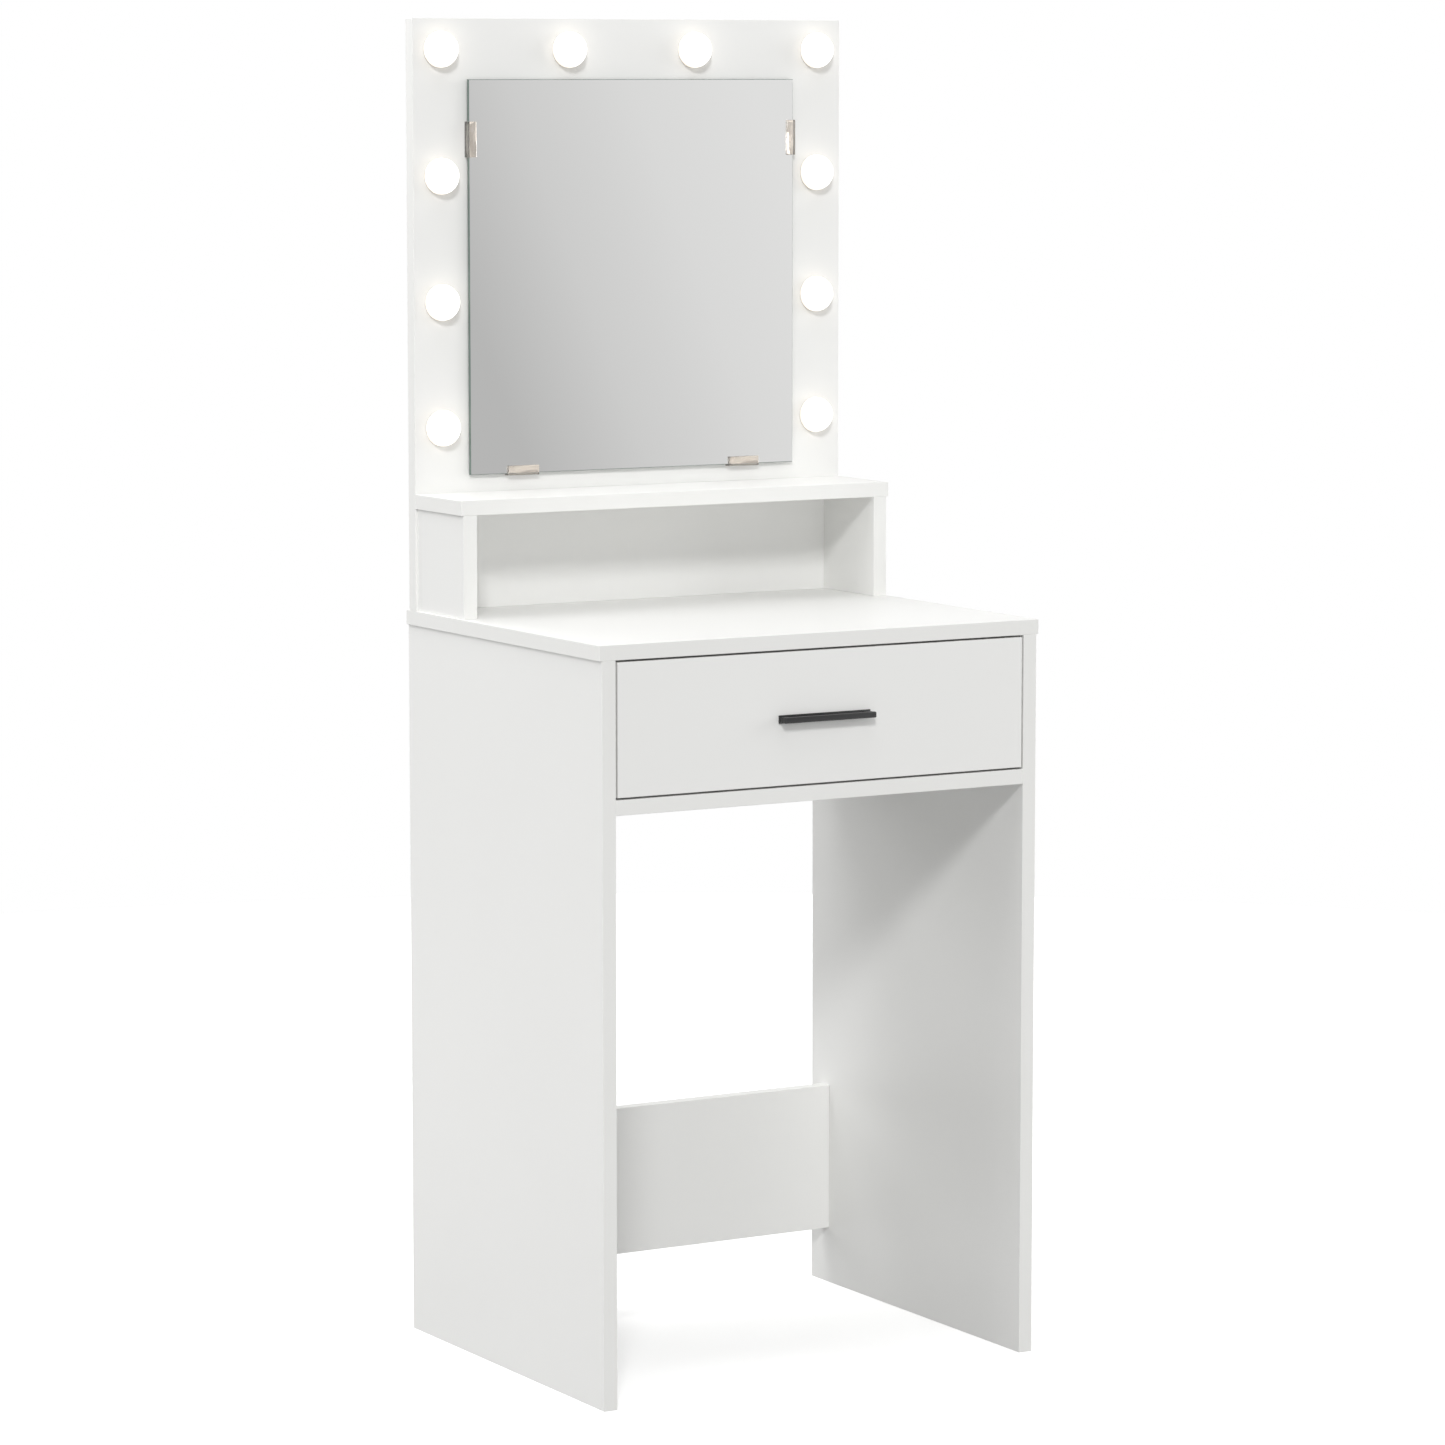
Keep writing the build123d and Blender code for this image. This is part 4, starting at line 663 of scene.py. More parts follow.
# Soft PVC wire jacket, extruded: satin with streaks along the wire.
WIRE_JACKET = Finish("white_pvc_wire_jacket", "E2E2DF", "DADAD6", 0.4, 0.06, 1.5, 0.01, 25.0)
# Glass-filled black nylon of the power socket.
BLACK_NYLON = Finish("black_glass_filled_nylon", "161616", "1E1E1E", 0.5, 0.08, 0.8, 0.03, 8.0)
# Steel with bright zinc plating: clean metal with a cloudy, faintly blue passivation.
ZINC_PLATE = Finish("bright_zinc_plated_steel", "C3C6CA", "B2B7BF", 0.3, 0.1, 0.8, 0.01, 5.0, metallic=1.0)
# Zinc die casting as it leaves the die: grey, with a dull flow-marked skin.
ZINC_CASTING = Finish("zinc_die_casting", "A9ABAD", "939699", 0.45, 0.12, 1.2, 0.03, 6.0, metallic=1.0)
# Turned beech dowel with straight grain.
BEECH = Grained("bare_beech", "C9A26E", "B58B58", 0.6, 0.06, 0.6, 0.05, stretch=(1.0, 1.0, 0.2))
# Black polyester powder coat on die-cast zinc: matt with a fine orange peel of about 0.8 mm.
BLACK_POWDER = Finish("matt_black_powder_coat", "151516", "1B1B1C", 0.42, 0.06, 0.8, 0.03, 12.0)
# White epoxy powder coat on folded steel: satin with an orange peel of about 1.5 mm.
WHITE_POWDER = Finish("white_epoxy_powder_coat", "E9E9E6", "E4E4E0", 0.3, 0.06, 1.5, 0.025, 40.0)
# Moulded natural nylon of the rollers: milky, slightly translucent white.
NYLON = Finish(
    "natural_nylon_moulding", "ECEBE4", "E4E2D9", 0.36, 0.06, 1.0, 0.01, 8.0,
    shader={"IOR": 1.53, "Subsurface Weight": 0.15, "Subsurface Scale": 0.002},
)
# Matt white studio floor with painted light: its own glow grows away from the piece so that it runs into the
# backdrop.
PAPER = FloorGlow(
    "matt_white_studio_floor", "F4F4F4", "F2F2F2", 0.8, 0.04, 3.0, 0.0, 900.0, rim_tone="FFFFFF",
    lit_tone="FFFFFF", rim_place=0.5, lit_place=2.2, rim_power=0.3, lit_power=0.6,
)


def put_on(piece: bpy.types.Object, *finishes: Finish) -> None:
    """Gives a new piece its material slots, in order.

    Args:
        piece: the object.
        finishes: one finish for each slot.
    """
    piece.data.materials.clear()
    for finish in finishes:
        piece.data.materials.append(finish.material())


def dress_node(node: str, finish: Finish) -> None:
    """Gives a CAD node that stays in view its finish.

    Args:
        node: the CAD node's name.
        finish: its finish.
    """
    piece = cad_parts[node]
    if not piece.material_slots:
        piece.data.materials.append(None)
    for slot in piece.material_slots:
        slot.material = finish.material()
    log.info("CAD node %s: %s", node, finish.name)


def settle(piece: bpy.types.Object, body: str, slot: str, *nodes: str) -> bpy.types.Object:
    """Ties a finished piece to its body, and hides the CAD nodes that it stands for.

    Args:
        piece: the finished piece.
        body: the CAD body it rides on.
        slot: not used.
        nodes: the CAD nodes that it replaces.

    Returns:
        The piece.
    """
    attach(piece, body)
    if nodes:
        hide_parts(*nodes)
    log.info("piece %s on %s: %d faces", piece.name, body, len(piece.data.polygons))
    return piece


def pockets(piece_box: Box, node: str, depth_mm: float, clearance_mm: float) -> list[bpy.types.Object]:
    """Makes the cutters of the round pockets that fittings leave in a board or sheet.

    Args:
        piece_box: box of the board or sheet.
        node: the CAD node that holds the fittings.
        depth_mm: how deep a pocket goes at most.
        clearance_mm: the gap round a fitting.

    Returns:
        One round cutter for each fitting whose end is level with a face of the board.
    """
    made = []
    for low, high in solids_of(node):
        middle = (low + high) / 2
        if any(not piece_box[0][i] - LEVEL_GAP < middle[i] < piece_box[1][i] + LEVEL_GAP for i in range(3)):
            continue
        for facing in Facing:
            axis, sign = facing.value
            face = piece_box[sign > 0][axis]
            if abs((low, high)[sign > 0][axis] - face) > LEVEL_GAP:
                continue
            across = [high[i] - low[i] for i in range(3) if i != axis]
            start = middle.copy()
            start[axis] = face + sign * MM
            into = next(f for f in Facing if f.vector == -facing.vector)
            depth = min(high[axis] - low[axis], depth_mm * MM) + MM
            radius = max(across) / 2 + clearance_mm * MM
            cutter = add_rod(f"pocket_{node}", start, into, radius, depth, POCKET_SIDES)
            put_on(cutter, CHIPBOARD)
            made.append(cutter)
    return made


# ---------------------------------------------------------------- boards
@dataclass
class Boards:
    """The melamine-faced boards of the carcass and of the drawer, with banded edges and cut pockets."""

    arris_mm: float = 0.4
    arris_steps: int = 2
    cam_pocket_mm: float = 12.5
    countersink_mm: float = 2.9
    notch_width_mm: float = 12.0
    notch_depth_mm: float = 6.9
    notch_corner_mm: float = 2.0
    notch_corner_steps: int = 4
    groove_play_mm: float = 0.05
    pocket_play_mm: float = 0.1
    carcass: tuple[str, ...] = (
        "left_side_panel", "right_side_panel", "tabletop", "drawer_bay_floor", "drawer_bay_back",
        "back_stretcher", "mirror_board", "cubby_left_side", "cubby_right_side", "cubby_shelf",
    )
    drawer: tuple[str, ...] = ("drawer_front", "drawer_left_side", "drawer_right_side", "drawer_back")

    def board(self, node: str) -> bpy.types.Object:
        """Makes one board with eased arrises, its faces in melamine and its edges banded.

        Args:
            node: the CAD node of the board.

        Returns:
            The board, not yet drilled.
        """
        low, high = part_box(node)
        piece = add_block(f"board_{node}", low, high)
        ease_edges(piece, self.arris_mm * MM, self.arris_steps)
        put_on(piece, MELAMINE, BANDING)
        thin = min(range(3), key=lambda axis: high[axis] - low[axis])
        for face in piece.data.polygons:
            face.material_index = 0 if abs(face.normal[thin]) > SQUARE_ON else 1
        return piece

    def notch(self, board_box: Box) -> bpy.types.Object:
        """Makes the cutter of the round-cornered notch that lets the wiring down behind the tabletop.

        Args:
            board_box: box of the tabletop.

        Returns:
            The cutter.
        """
        cover_low, cover_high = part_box("driver_cover")
        middle = (cover_low.x + cover_high.x) / 2
        half, deep = self.notch_width_mm * MM / 2, self.notch_depth_mm * MM
        low, high = board_box
        near = Vector((middle - half, high.y - deep, low.z - MM))
        far = Vector((middle + half, high.y + MM, high.z + MM))
        cutter = add_block("cable_notch", near, far)
        ease_edges(
            cutter, self.notch_corner_mm * MM, self.notch_corner_steps,
            lambda e: runs_along(e, Facing.UP) and e.verts[0].co.y < high.y,
        )
        put_on(cutter, CHIPBOARD)
        return cutter

    def groove(self) -> bpy.types.Object:
        """Makes the cutter of the groove that the drawer bottom sits in.

        Returns:
            The cutter.
        """
        low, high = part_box("drawer_bottom")
        play = Vector((self.groove_play_mm * MM,) * 3)
        cutter = add_block("bottom_groove", low - play, high + play)
        put_on(cutter, CHIPBOARD)
        return cutter

    def build(self) -> None:
        """Makes, cuts and ties every board."""
        fittings = {
            CARCASS: (("cam_discs", self.cam_pocket_mm), ("board_screws", self.countersink_mm)),
            DRAWER: (("drawer_cam_discs", self.cam_pocket_mm), ("drawer_screws", self.countersink_mm)),
        }
        for body, nodes in ((CARCASS, self.carcass), (DRAWER, self.drawer)):
            for node in nodes:
                piece = self.board(node)
                cutters = []
                for fitting, depth in fittings[body]:
                    cutters += pockets(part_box(node), fitting, depth, self.pocket_play_mm)
                if node == "tabletop":
                    cutters.append(self.notch(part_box(node)))
                if body == DRAWER:
                    cutters.append(self.groove())
                cut_away(piece, cutters)
                settle(piece, body, "melamine_board", node)


# ---------------------------------------------------------------- mirror and its clips
@dataclass
class Mirror:
    """The frameless mirror on foam pads, and the four clear clips that hold it."""

    seam_mm: float = 0.5
    clip_lip_mm: float = 8.0
    clip_round_mm: float = 0.5
    slot_play_mm: float = 0.05

    def glass(self) -> None:
        """Makes the pane: mirror face, ground edges and lacquered back."""
        low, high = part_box("mirror_glass")
        pane = add_block("mirror_pane", low, high)
        ease_edges(pane, self.seam_mm * MM, 1, lambda e: not runs_along(e, Facing.BACK))
        put_on(pane, SILVER, GLASS_EDGE, MIRROR_BACK)
        for face in pane.data.polygons:
            along = face.normal.y
            face.material_index = 0 if along < -SQUARE_ON else 2 if along > SQUARE_ON else 1
        settle(pane, CARCASS, "mirror_glass", "mirror_glass")

    def clips(self) -> None:
        """Makes each clip from a block, with a slot for the pane and a shorter lip in front."""
        pane_low, pane_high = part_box("mirror_glass")
        play = self.slot_play_mm * MM
        for number, (low, high) in enumerate(solids_of("mirror_clips"), 1):
            clip = add_block(f"mirror_clip_{number}", low, high)
            axis = 2 if high.x - low.x > high.z - low.z else 0
            middle = (low + high) / 2
            inward = 1 if middle[axis] < (pane_low[axis] + pane_high[axis]) / 2 else -1
            edge = (pane_low if inward > 0 else pane_high)[axis]
            slot_low, slot_high = low - Vector((MM,) * 3), high + Vector((MM,) * 3)
            slot_low.y, slot_high.y = pane_low.y - play, pane_high.y + play
            trim_low, trim_high = slot_low.copy(), slot_high.copy()
            trim_low.y, trim_high.y = low.y - MM, pane_low.y
            lip = edge + inward * self.clip_lip_mm * MM
            if inward > 0:
                slot_low[axis], trim_low[axis] = edge - 2 * play, lip
            else:
                slot_high[axis], trim_high[axis] = edge + 2 * play, lip
            for corner_low, corner_high in ((slot_low, slot_high), (trim_low, trim_high)):
                cut_away(clip, [add_block("clip_cutter", corner_low, corner_high)])
            modify(clip, "BEVEL", width=self.clip_round_mm * MM, segments=3, limit_method="ANGLE")
            close_up(clip)
            shade(clip)
            put_on(clip, CLEAR_PLASTIC)
            settle(clip, CARCASS, "clear_plastic", "mirror_clips")

    def build(self) -> None:
        """Makes the pane and clips, and dresses the pads and screws."""
        self.glass()
        self.clips()
        dress_node("mirror_foam_pads", FOAM)
        dress_node("mirror_clip_screws", ZINC_PLATE)


# ---------------------------------------------------------------- lamps and wiring
@dataclass
class Lamps:
    """The ring of round lamps: opal domes on base rings, with their caps and wiring behind the board."""

    dome_wall_mm: float = 1.6
    dome_segments: int = 72
    dome_rings: int = 36
    dome_smooth_degrees: float = 60.0
    base_steps: int = 64
    cap_steps: int = 48
    base_profile: tuple[tuple[float, float], ...] = (
        (2.5, 0.0), (17.2, 0.0), (17.6, 0.4), (17.6, 2.0), (17.1, 2.5), (16.4, 2.5), (16.4, 4.6),
        (16.0, 5.0), (14.9, 5.0), (14.5, 4.6), (14.5, 2.5), (2.5, 2.5),
    )
    cap_profile: tuple[tuple[float, float], ...] = (
        (0.0, 5.7), (2.2, 5.7), (3.0, 6.5), (8.6, 6.5), (9.6, 6.2), (10.2, 5.5), (10.5, 4.6), (10.5, 0.0),
        (0.0, 0.0),
    )

    def dome(self, low: Vector, high: Vector) -> bpy.types.Object:
        """Makes one opal dome as a thin shell.

        Args:
            low: lowest corner of the CAD lens.
            high: its highest corner.

        Returns:
            The dome.
        """
        radius = (high.x - low.x) / 2
        centre = Vector(((low.x + high.x) / 2, high.y, (low.z + high.z) / 2))
        bpy.ops.object.select_all(action="DESELECT")
        bpy.ops.mesh.primitive_uv_sphere_add(
            segments=self.dome_segments, ring_count=self.dome_rings, radius=radius, location=centre,
            rotation=(math.pi / 2, 0, 0),
        )
        dome = placed("lamp_dome")
        with editing(dome):
            bpy.ops.mesh.select_all(action="SELECT")
            bpy.ops.mesh.bisect(plane_co=centre, plane_no=(0, 1, 0), clear_outer=True)
        close_up(dome)
        modify(dome, "SOLIDIFY", thickness=self.dome_wall_mm * MM, offset=-1.0)
        shade(dome, self.dome_smooth_degrees)
        put_on(dome, OPAL)
        return dome

    def build(self) -> None:
        """Makes the domes, base rings and rear caps of all lamps, and dresses the wiring."""
        lenses = solids_of("lamp_lenses")
        dome = self.dome(*lenses[0])
        first = (lenses[0][0] + lenses[0][1]) / 2
        base = turned("lamp_base", list(self.base_profile), self.base_steps, closed=True)
        cap = turned("lamp_cap", list(self.cap_profile), self.cap_steps)
        for piece in (base, cap):
            put_on(piece, WHITE_ABS)
            shade(piece, SMOOTH_DEGREES)
        board_low, board_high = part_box("mirror_board")
        for number, (low, high) in enumerate(lenses, 1):
            middle = (low + high) / 2
            shift = Matrix.Translation(middle - first)
            settle(copied(dome, f"lamp_dome_{number}", shift), CARCASS, "lamp_lens", "lamp_lenses")
            front = Vector((middle.x, board_low.y, middle.z))
            made = copied(base, f"lamp_base_{number}", towards(Facing.FRONT, front))
            settle(made, CARCASS, "lamp_base_plastic", "lamp_bases")
            back = Vector((middle.x, board_high.y, middle.z))
            made = copied(cap, f"lamp_rear_cap_{number}", towards(Facing.BACK, back))
            settle(made, CARCASS, "lamp_base_plastic", "lamp_rear_caps")
        for pattern in (dome, base, cap):
            bpy.data.objects.remove(pattern)
        dress_node("lamp_led_boards", SOLDER_MASK)
        dress_node("lamp_nuts", WHITE_ABS)
        dress_node("wiring_harness", WIRE_JACKET)
        dress_node("harness_clips", WHITE_ABS)


@dataclass
class Driver:
    """The lamp driver's box behind the drawer bay: tray, vented cover, circuit board and power inlet."""

    wall_mm: float = 2.0
    cover_round_mm: float = 0.9
    vent_length_mm: float = 18.0
    vent_width_mm: float = 1.8
    vent_pitch_mm: float = 4.5
    vent_round_mm: float = 0.882
    vent_cut_mm: float = 6.0
    vent_row_gap_mm: float = 5.0
    vents: int = 9

    def cover(self) -> None:
        """Makes the cover with rounded edges and two rows of vent slots."""
        low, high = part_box("driver_cover")
        plate_low = Vector((low.x, high.y - self.wall_mm * MM, low.z))
        cover = add_block("driver_lid", plate_low, high)
        outer = high.y - MM
        ease_edges(cover, self.cover_round_mm * MM, 3, lambda e: sum(v.co.y for v in e.verts) / 2 > outer)
        middle = (low + high) / 2
        cutters = []
        for row in (-1, 1):
            for step in range(self.vents):
                x = middle.x + row * (self.vent_length_mm / 2 + self.vent_row_gap_mm) * MM
                z = middle.z + (step - (self.vents - 1) / 2) * self.vent_pitch_mm * MM
                half = Vector((self.vent_length_mm, self.vent_cut_mm, self.vent_width_mm)) * MM / 2
                slot_at = Vector((x, high.y, z))
                slot = add_block("vent", slot_at - half, slot_at + half)
                ease_edges(slot, self.vent_round_mm * MM, 3, lambda e: runs_along(e, Facing.BACK))
                put_on(slot, WHITE_ABS)
                cutters.append(slot)
        put_on(cover, WHITE_ABS)
        cut_away(cover, cutters)
        shade(cover, SMOOTH_DEGREES)
        settle(cover, CARCASS, "driver_plastic", "driver_cover")

    def build(self) -> None:
        """Makes the cover and dresses the rest."""
        self.cover()
        dress_node("driver_housing", WHITE_ABS)
        dress_node("driver_circuit_board", SOLDER_MASK)
        dress_node("power_inlet", BLACK_NYLON)
        dress_node("driver_screws", ZINC_PLATE)


# ---------------------------------------------------------------- drawer handle
@dataclass
class Handle:
    """The black handle: a back plate, two posts and a flat bar, cast in one."""

    plate_height_mm: float = 8.2
    plate_mm: float = 2.0
    bar_height_mm: float = 5.8
    bar_depth_mm: float = 4.5
    post_width_mm: float = 8.0
    post_height_mm: float = 5.2
    plate_round_mm: float = 0.4
    bar_round_mm: float = 0.9
    smooth_degrees: float = 40.0

    def part(
        self, name: str, x: tuple[float, float], y: tuple[float, float], height_mm: float
    ) -> bpy.types.Object:
        """Makes a block of the handle, centred on its height.

        Args:
            name: the block's name.
            x: its left and right ends.
            y: its front and back.
            height_mm: its height.

        Returns:
            The block.
        """
        low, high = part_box("drawer_handle")
        middle, half = (low.z + high.z) / 2, height_mm * MM / 2
        return add_block(name, Vector((x[0], y[0], middle - half)), Vector((x[1], y[1], middle + half)))

    def build(self) -> None:
        """Makes the three parts, rounds them, joins them and dresses the screws."""
        low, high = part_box("drawer_handle")
        plate_front = high.y - self.plate_mm * MM
        plate = self.part("handle_plate", (low.x, high.x), (plate_front, high.y), self.plate_height_mm)
        ease_edges(plate, self.plate_round_mm * MM, 2)
        bar_back = low.y + self.bar_depth_mm * MM
        bar = self.part("handle_bar", (low.x, high.x), (low.y, bar_back), self.bar_height_mm)
        ease_edges(bar, self.bar_round_mm * MM, 4)
        parts = [plate, bar]
        for _, side in SIDES:
            outer = side * (high.x - self.plate_round_mm * MM)
            inner = outer - side * self.post_width_mm * MM
            ends = (min(outer, inner), max(outer, inner))
            post = self.part("handle_post", ends, (bar_back - MM, high.y - MM), self.post_height_mm)
            ease_edges(post, self.plate_round_mm * MM, 2)
            parts.append(post)
        handle = joined(parts, "bar_handle")
        shade(handle, self.smooth_degrees)
        put_on(handle, BLACK_POWDER)
        settle(handle, DRAWER, "black_handle_paint", "drawer_handle")
        dress_node("handle_screws", ZINC_PLATE)


# ---------------------------------------------------------------- roller runners
@dataclass
class Runners:
    """The folded-steel runners of the drawer and their nylon rollers."""

    sheet_mm: float = 1.2
    bend_mm: float = 1.4
    flange_cut_mm: float = 26.0
    stop_height_mm: float = 6.0
    stop_round_mm: float = 0.3
    sheared_round_mm: float = 0.15
    sheared_corner_degrees: float = 60.0
    screw_depth_mm: float = 2.0
    screw_play_mm: float = 0.15
    level_mm: float = 0.05
    roller_steps: int = 64
    roller_profile: tuple[tuple[float, float], ...] = (
        (2.05, 0.0), (4.4, 0.0), (4.7, 0.3), (4.7, 1.3), (5.0, 1.6), (7.3, 1.6), (7.6, 1.3), (7.6, 0.3),
        (7.9, 0.0), (8.85, 0.0), (9.4, 0.25), (9.7, 0.85), (9.7, 5.95), (9.4, 6.55), (8.85, 6.8),
        (7.9, 6.8), (7.6, 6.5), (7.6, 5.5), (7.3, 5.2), (5.0, 5.2), (4.7, 5.5), (4.7, 6.5), (4.4, 6.8),
        (2.05, 6.8),
    )
    zinc: tuple[str, ...] = (
        "cabinet_roller_axles", "cabinet_runner_screws", "drawer_roller_axles", "drawer_runner_screws",
    )

    def folded(
        self, name: str, section: list[tuple[float, float]], start: float, end: float
    ) -> bpy.types.Object:
        """Folds a strip of sheet, still without its thickness, along a section.

        Args:
            name: the object's name.
            section: (x, z) corners of the middle of the sheet, in metres.
            start: y of its front end.
            end: y of its back end.

        Returns:
            The folded sheet.
        """
        strip = draw_line(name, [Vector((x, start, z)) for x, z in section])
        corners = section[1:-1]

        def at_bend(edge: bmesh.types.BMEdge) -> bool:
            """Tells whether an edge runs along one of the bends."""
            a, b = (v.co for v in edge.verts)
            return abs(a.y - b.y) > MM and any(abs(a.x - x) + abs(a.z - z) < CORNER_GAP for x, z in corners)

        with editing(strip):
            bpy.ops.mesh.select_all(action="SELECT")
            bpy.ops.mesh.extrude_region_move(TRANSFORM_OT_translate={"value": (0, end - start, 0)})
            pick(strip, Pick.EDGES, at_bend)
            bpy.ops.mesh.bevel(offset=self.bend_mm * MM, segments=4, affect="EDGES")
        close_up(strip)
        return strip

    def thicken(self, strip: bpy.types.Object) -> None:
        """Gives a folded strip its thickness and eases its sheared edges."""
        modify(strip, "SOLIDIFY", thickness=self.sheet_mm * MM, offset=0.0, use_even_offset=True)
        corner = math.radians(self.sheared_corner_degrees)
        width = self.sheared_round_mm * MM
        modify(strip, "BEVEL", width=width, segments=1, limit_method="ANGLE", angle_limit=corner)
        close_up(strip)

    def cabinet_runner(self, name: str, side: int) -> None:
        """Makes a channel with its top flange cut away over the roller, and the bent-up stop.

        Args:
            name: left or right.
            side: -1 on the left and 1 on the right.
        """
        node = f"{name}_cabinet_runner"
        low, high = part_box(node)
        half = self.sheet_mm * MM / 2
        web = side * (max(abs(low.x), abs(high.x)) - half)
        lip = side * min(abs(low.x), abs(high.x))
        section = [(lip, low.z + half), (web, low.z + half), (web, high.z - half), (lip, high.z - half)]
        strip = self.folded(f"folded_{node}", section, low.y, high.y)
        cut_end = low.y + self.flange_cut_mm * MM

        def over_roller(face: bmesh.types.BMFace) -> bool:
            """Tells whether a face is the part of the top flange over the roller."""
            middle = face.calc_center_median()
            return middle.y < cut_end and middle.z > high.z - MM and abs(face.normal.z) > SQUARE_ON

        with editing(strip):
            bpy.ops.mesh.select_all(action="SELECT")
            bpy.ops.mesh.bisect(plane_co=(0, cut_end, 0), plane_no=(0, 1, 0))
            pick(strip, Pick.FACES, over_roller)
            bpy.ops.mesh.delete(type="FACE")
        self.thicken(strip)
        stop_y = self.stop_back(node)
        edges = sorted((lip, web - side * half))
        stop = add_block(
            "stop", Vector((edges[0], stop_y - self.sheet_mm * MM, low.z + half)),
            Vector((edges[1], stop_y, low.z + (self.sheet_mm + self.stop_height_mm) * MM)),
        )
        ease_edges(stop, self.stop_round_mm * MM, 2)
        runner = joined([strip, stop], f"folded_{node}")
        screws = pockets((low, high), "cabinet_runner_screws", self.screw_depth_mm, self.screw_play_mm)
        cut_away(runner, screws)
        shade(runner, SMOOTH_DEGREES)
        put_on(runner, WHITE_POWDER)
        settle(runner, CARCASS, "runner_enamel", node)

    def stop_back(self, node: str) -> float:
        """Finds the back face of the stop, from the CAD runner's own points.

        Args:
            node: the CAD runner.

        Returns:
            Its y.
        """
        low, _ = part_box(node)
        top = low.z + (self.sheet_mm + self.stop_height_mm) * MM
        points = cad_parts[node].data.vertices
        found = [v.co.y for v in points if abs(v.co.z - top) < self.level_mm * MM]
        return max(found)

    def drawer_runner(self, name: str, side: int) -> None:
        """Makes the runner under a drawer side: a foot flange, a web and the outward flange on the roller.

        Args:
            name: left or right.
            side: -1 on the left and 1 on the right.
        """
        node = f"{name}_drawer_runner"
        low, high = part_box(node)
        half = self.sheet_mm * MM / 2
        foot = side * min(abs(low.x), abs(high.x))
        tip = side * max(abs(low.x), abs(high.x))
        inner_face = max(abs(corner.x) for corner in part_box(f"drawer_{name}_side"))
        web = side * (inner_face + half)
        section = [(foot, low.z + half), (web, low.z + half), (web, high.z - half), (tip, high.z - half)]
        runner = self.folded(f"folded_{node}", section, low.y, high.y)
        self.thicken(runner)
        web_box = (Vector((web - half, low.y, low.z)), Vector((web + half, high.y, high.z)))
        screws = pockets(web_box, "drawer_runner_screws", self.screw_depth_mm, self.screw_play_mm)
        cut_away(runner, screws)
        shade(runner, SMOOTH_DEGREES)
        put_on(runner, WHITE_POWDER)
        settle(runner, DRAWER, "runner_enamel", node)

    def build(self) -> None:
        """Makes the runners and rollers, and dresses the axles and screws."""
        wheel = turned("roller", list(self.roller_profile), self.roller_steps, closed=True)
        put_on(wheel, NYLON)
        shade(wheel, SMOOTH_DEGREES)
        for name, side in SIDES:
            self.cabinet_runner(name, side)
            self.drawer_runner(name, side)
            for end in ("front", "rear"):
                node = f"{name}_{end}_roller"
                low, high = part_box(node)
                seat = Vector((low.x, (low.y + high.y) / 2, (low.z + high.z) / 2))
                roller = copied(wheel, f"nylon_{node}", towards(Facing.RIGHT, seat))
                settle(roller, node, "roller_nylon", node)
        bpy.data.objects.remove(wheel)
        for node in self.zinc:
            dress_node(node, ZINC_PLATE)


@dataclass
class Fittings:
    """The hidden and half-hidden fittings, which keep their CAD shapes."""

    zinc: tuple[str, ...] = ("cam_bolts", "board_screws", "drawer_cam_bolts", "drawer_screws")
    castings: tuple[str, ...] = ("cam_discs", "drawer_cam_discs")

    def build(self) -> None:
        """Dresses them all."""
        for node in self.zinc:
            dress_node(node, ZINC_PLATE)
        for node in self.castings:
            dress_node(node, ZINC_CASTING)
        dress_node("wood_dowels", BEECH)
        dress_node("drawer_bottom", HARDBOARD)


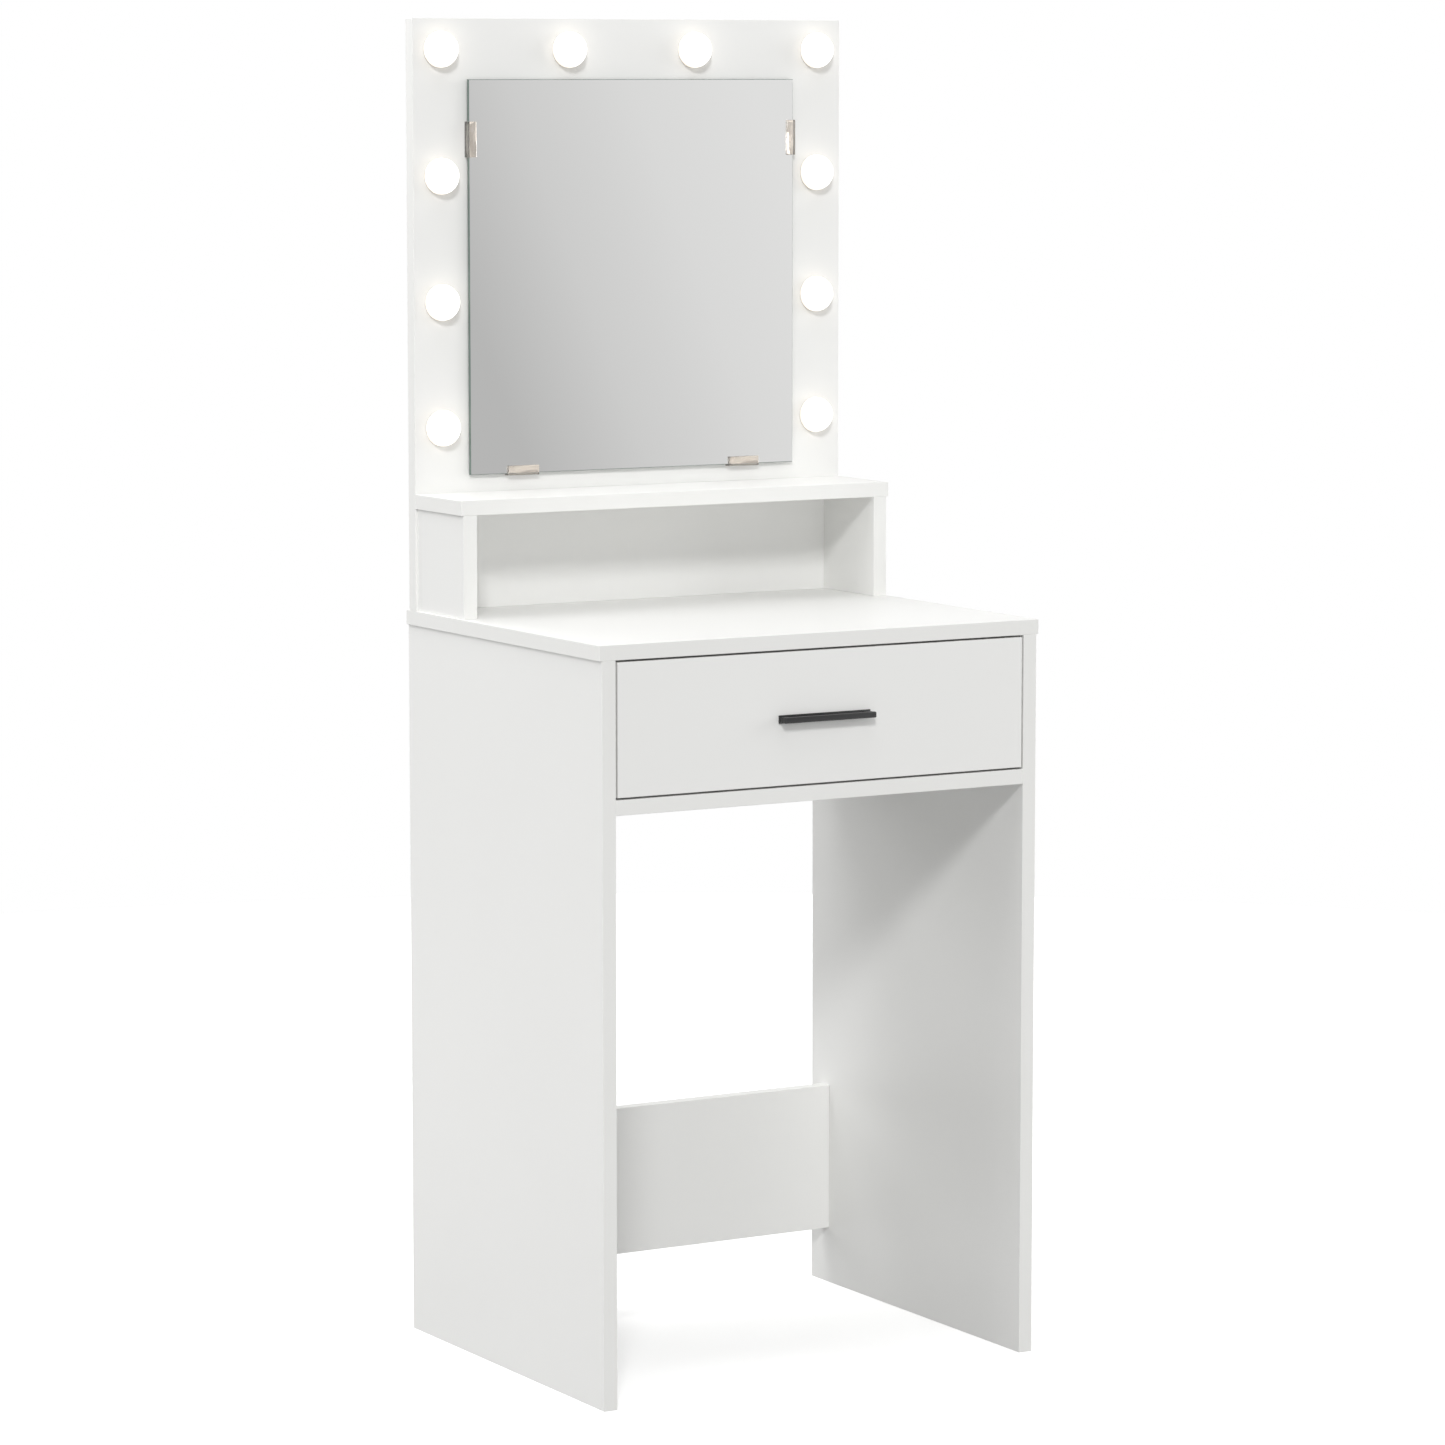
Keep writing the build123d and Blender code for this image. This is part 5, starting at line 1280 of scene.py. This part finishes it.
# ---------------------------------------------------------------- studio
@dataclass
class Studio:
    """A plain white floor and background, soft lights and the camera."""

    floor_radius: float = 3.0
    floor_sides: int = 128
    sensor_width: float = 36.0
    view_depth: float = 100.0
    camera_place: tuple[float, float, float] = (-2.69454, -4.61670, 1.28437)
    camera_turn_degrees: float = 30.2647
    camera_dip_degrees: float = 6.9158
    lens: float = 133.198
    key_power: float = 1.3
    key_azimuth_degrees: float = 30.0
    key_height_degrees: float = 32.0
    key_width_degrees: float = 9.0
    key_distance: float = 4.0
    aim: tuple[float, float, float] = (0.0, 0.0, 0.7)
    # softboxes: name, place and size in metres, power in watts
    softboxes: tuple[tuple[str, tuple[float, float, float], float, float], ...] = (
        ("left_softbox", (-3.6, 0.4, 2.2), 2.2, 50.0),
        ("top_softbox", (-0.3, -0.5, 3.4), 2.0, 19.0),
        ("top_rear_softbox", (-0.8, 0.9, 3.2), 1.6, 19.0),
        ("right_softbox", (3.2, -1.1, 1.6), 1.8, 38.0),
        ("low_front_softbox", (-0.9, -3.6, 0.6), 1.6, 20.0),
        ("rear_softbox", (-0.6, 3.4, 2.3), 1.6, 55.0),
    )
    ambient: float = 0.33
    backdrop: float = 1.0
    # brightness that polished faces see: along the studio's grey wall, from its dark end to its light end
    wall_axis: tuple[float, float, float] = (19.24, 10.77, 8.17)
    wall_offset: float = 1.0
    wall_stops: tuple[tuple[float, float], ...] = (
        (-4.0, 0.50), (0.0, 0.544), (0.5, 0.703), (0.75, 0.75), (1.0, 0.805), (1.5, 0.856), (5.0, 0.90),
    )

    def camera(self) -> None:
        """Places the camera."""
        data = bpy.data.cameras.new("camera")
        data.lens = self.lens
        data.sensor_width = self.sensor_width
        data.clip_end = self.view_depth
        made = bpy.data.objects.new("camera", data)
        bpy.context.scene.collection.objects.link(made)
        made.location = self.camera_place
        dip, turn = math.radians(90 - self.camera_dip_degrees), math.radians(self.camera_turn_degrees)
        made.rotation_euler = (dip, 0, -turn)
        bpy.context.scene.camera = made

    def floor(self) -> None:
        """Lays the round floor, which sends no light up into the knee room."""
        bpy.ops.object.select_all(action="DESELECT")
        bpy.ops.mesh.primitive_circle_add(
            vertices=self.floor_sides, radius=self.floor_radius, fill_type="NGON"
        )
        made = placed("studio_floor")
        put_on(made, PAPER)
        made.visible_diffuse = False

    def aimed(self, made: bpy.types.Object, place: Vector, target: Vector) -> None:
        """Puts a light in place and turns it to its target.

        Args:
            made: the light.
            place: where it stands.
            target: the point that it faces.
        """
        bpy.context.scene.collection.objects.link(made)
        made.location = place
        made.rotation_euler = (target - place).to_track_quat("-Z", "Y").to_euler()

    def lights(self) -> None:
        """Adds the key light, and the square softboxes aimed at the middle of the table."""
        data = bpy.data.lights.new("key", "SUN")
        data.energy = self.key_power
        data.angle = math.radians(self.key_width_degrees)
        turn, rise = math.radians(self.key_azimuth_degrees), math.radians(self.key_height_degrees)
        level = self.key_distance * math.cos(rise)
        height = self.key_distance * math.sin(rise)
        place = Vector((-math.sin(turn) * level, -math.cos(turn) * level, height))
        self.aimed(bpy.data.objects.new("key", data), place, Vector((0, 0, 0)))
        for name, box_place, size, power in self.softboxes:
            data = bpy.data.lights.new(name, "AREA")
            data.size = size
            data.energy = power
            self.aimed(bpy.data.objects.new(name, data), Vector(box_place), Vector(self.aim))

    def world(self) -> None:
        """Makes the surroundings: white to the camera, a grey studio in reflections, even soft light."""
        world = bpy.data.worlds.new("studio")
        bpy.context.scene.world = world
        world.use_nodes = True
        tree = world.node_tree
        tree.nodes.clear()
        where = add_node(tree, "ShaderNodeTexCoord")
        along = add_node(
            tree, "ShaderNodeVectorMath", {"operation": "DOT_PRODUCT"},
            {0: where.outputs["Generated"], 1: self.wall_axis},
        )
        first, last = self.wall_stops[0][0], self.wall_stops[-1][0]
        share = add_node(
            tree, "ShaderNodeMapRange",
            inputs={
                "Value": along.outputs["Value"], "From Min": first - self.wall_offset,
                "From Max": last - self.wall_offset,
            },
        )
        wall = add_node(tree, "ShaderNodeValToRGB", inputs={"Fac": share.outputs["Result"]})
        stops = wall.color_ramp.elements
        while len(stops) < len(self.wall_stops):
            stops.new(0.5)
        for stop, (place, brightness) in zip(stops, self.wall_stops):
            stop.position = (place - first) / (last - first)
            stop.color = (brightness, brightness, brightness, 1.0)
        grey = add_node(tree, "ShaderNodeBackground", inputs={"Color": wall.outputs["Color"]})
        soft = add_node(tree, "ShaderNodeBackground", inputs={"Strength": self.ambient})
        white = add_node(tree, "ShaderNodeBackground", inputs={"Strength": self.backdrop})
        for background in (soft, white):
            background.inputs["Color"].default_value = (1.0, 1.0, 1.0, 1.0)
        ray = add_node(tree, "ShaderNodeLightPath")
        seen = soft
        for kind, other in (("Is Glossy Ray", grey), ("Is Camera Ray", white)):
            choice = {0: ray.outputs[kind], 1: seen.outputs[0], 2: other.outputs[0]}
            seen = add_node(tree, "ShaderNodeMixShader", inputs=choice)
        add_node(tree, "ShaderNodeOutputWorld", inputs={"Surface": seen.outputs[0]})

    def build(self) -> None:
        """Makes the whole studio."""
        self.camera()
        self.floor()
        self.lights()
        self.world()
        bpy.context.scene.view_settings.view_transform = "Standard"


def main() -> None:
    """Builds the studio and every sub-assembly in order."""
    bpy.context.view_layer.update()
    Studio().build()
    for assembly in (Boards(), Mirror(), Lamps(), Driver(), Handle(), Runners(), Fittings()):
        assembly.build()
        log.info("%s done", type(assembly).__name__)


if __name__ == "__main__":
    main()
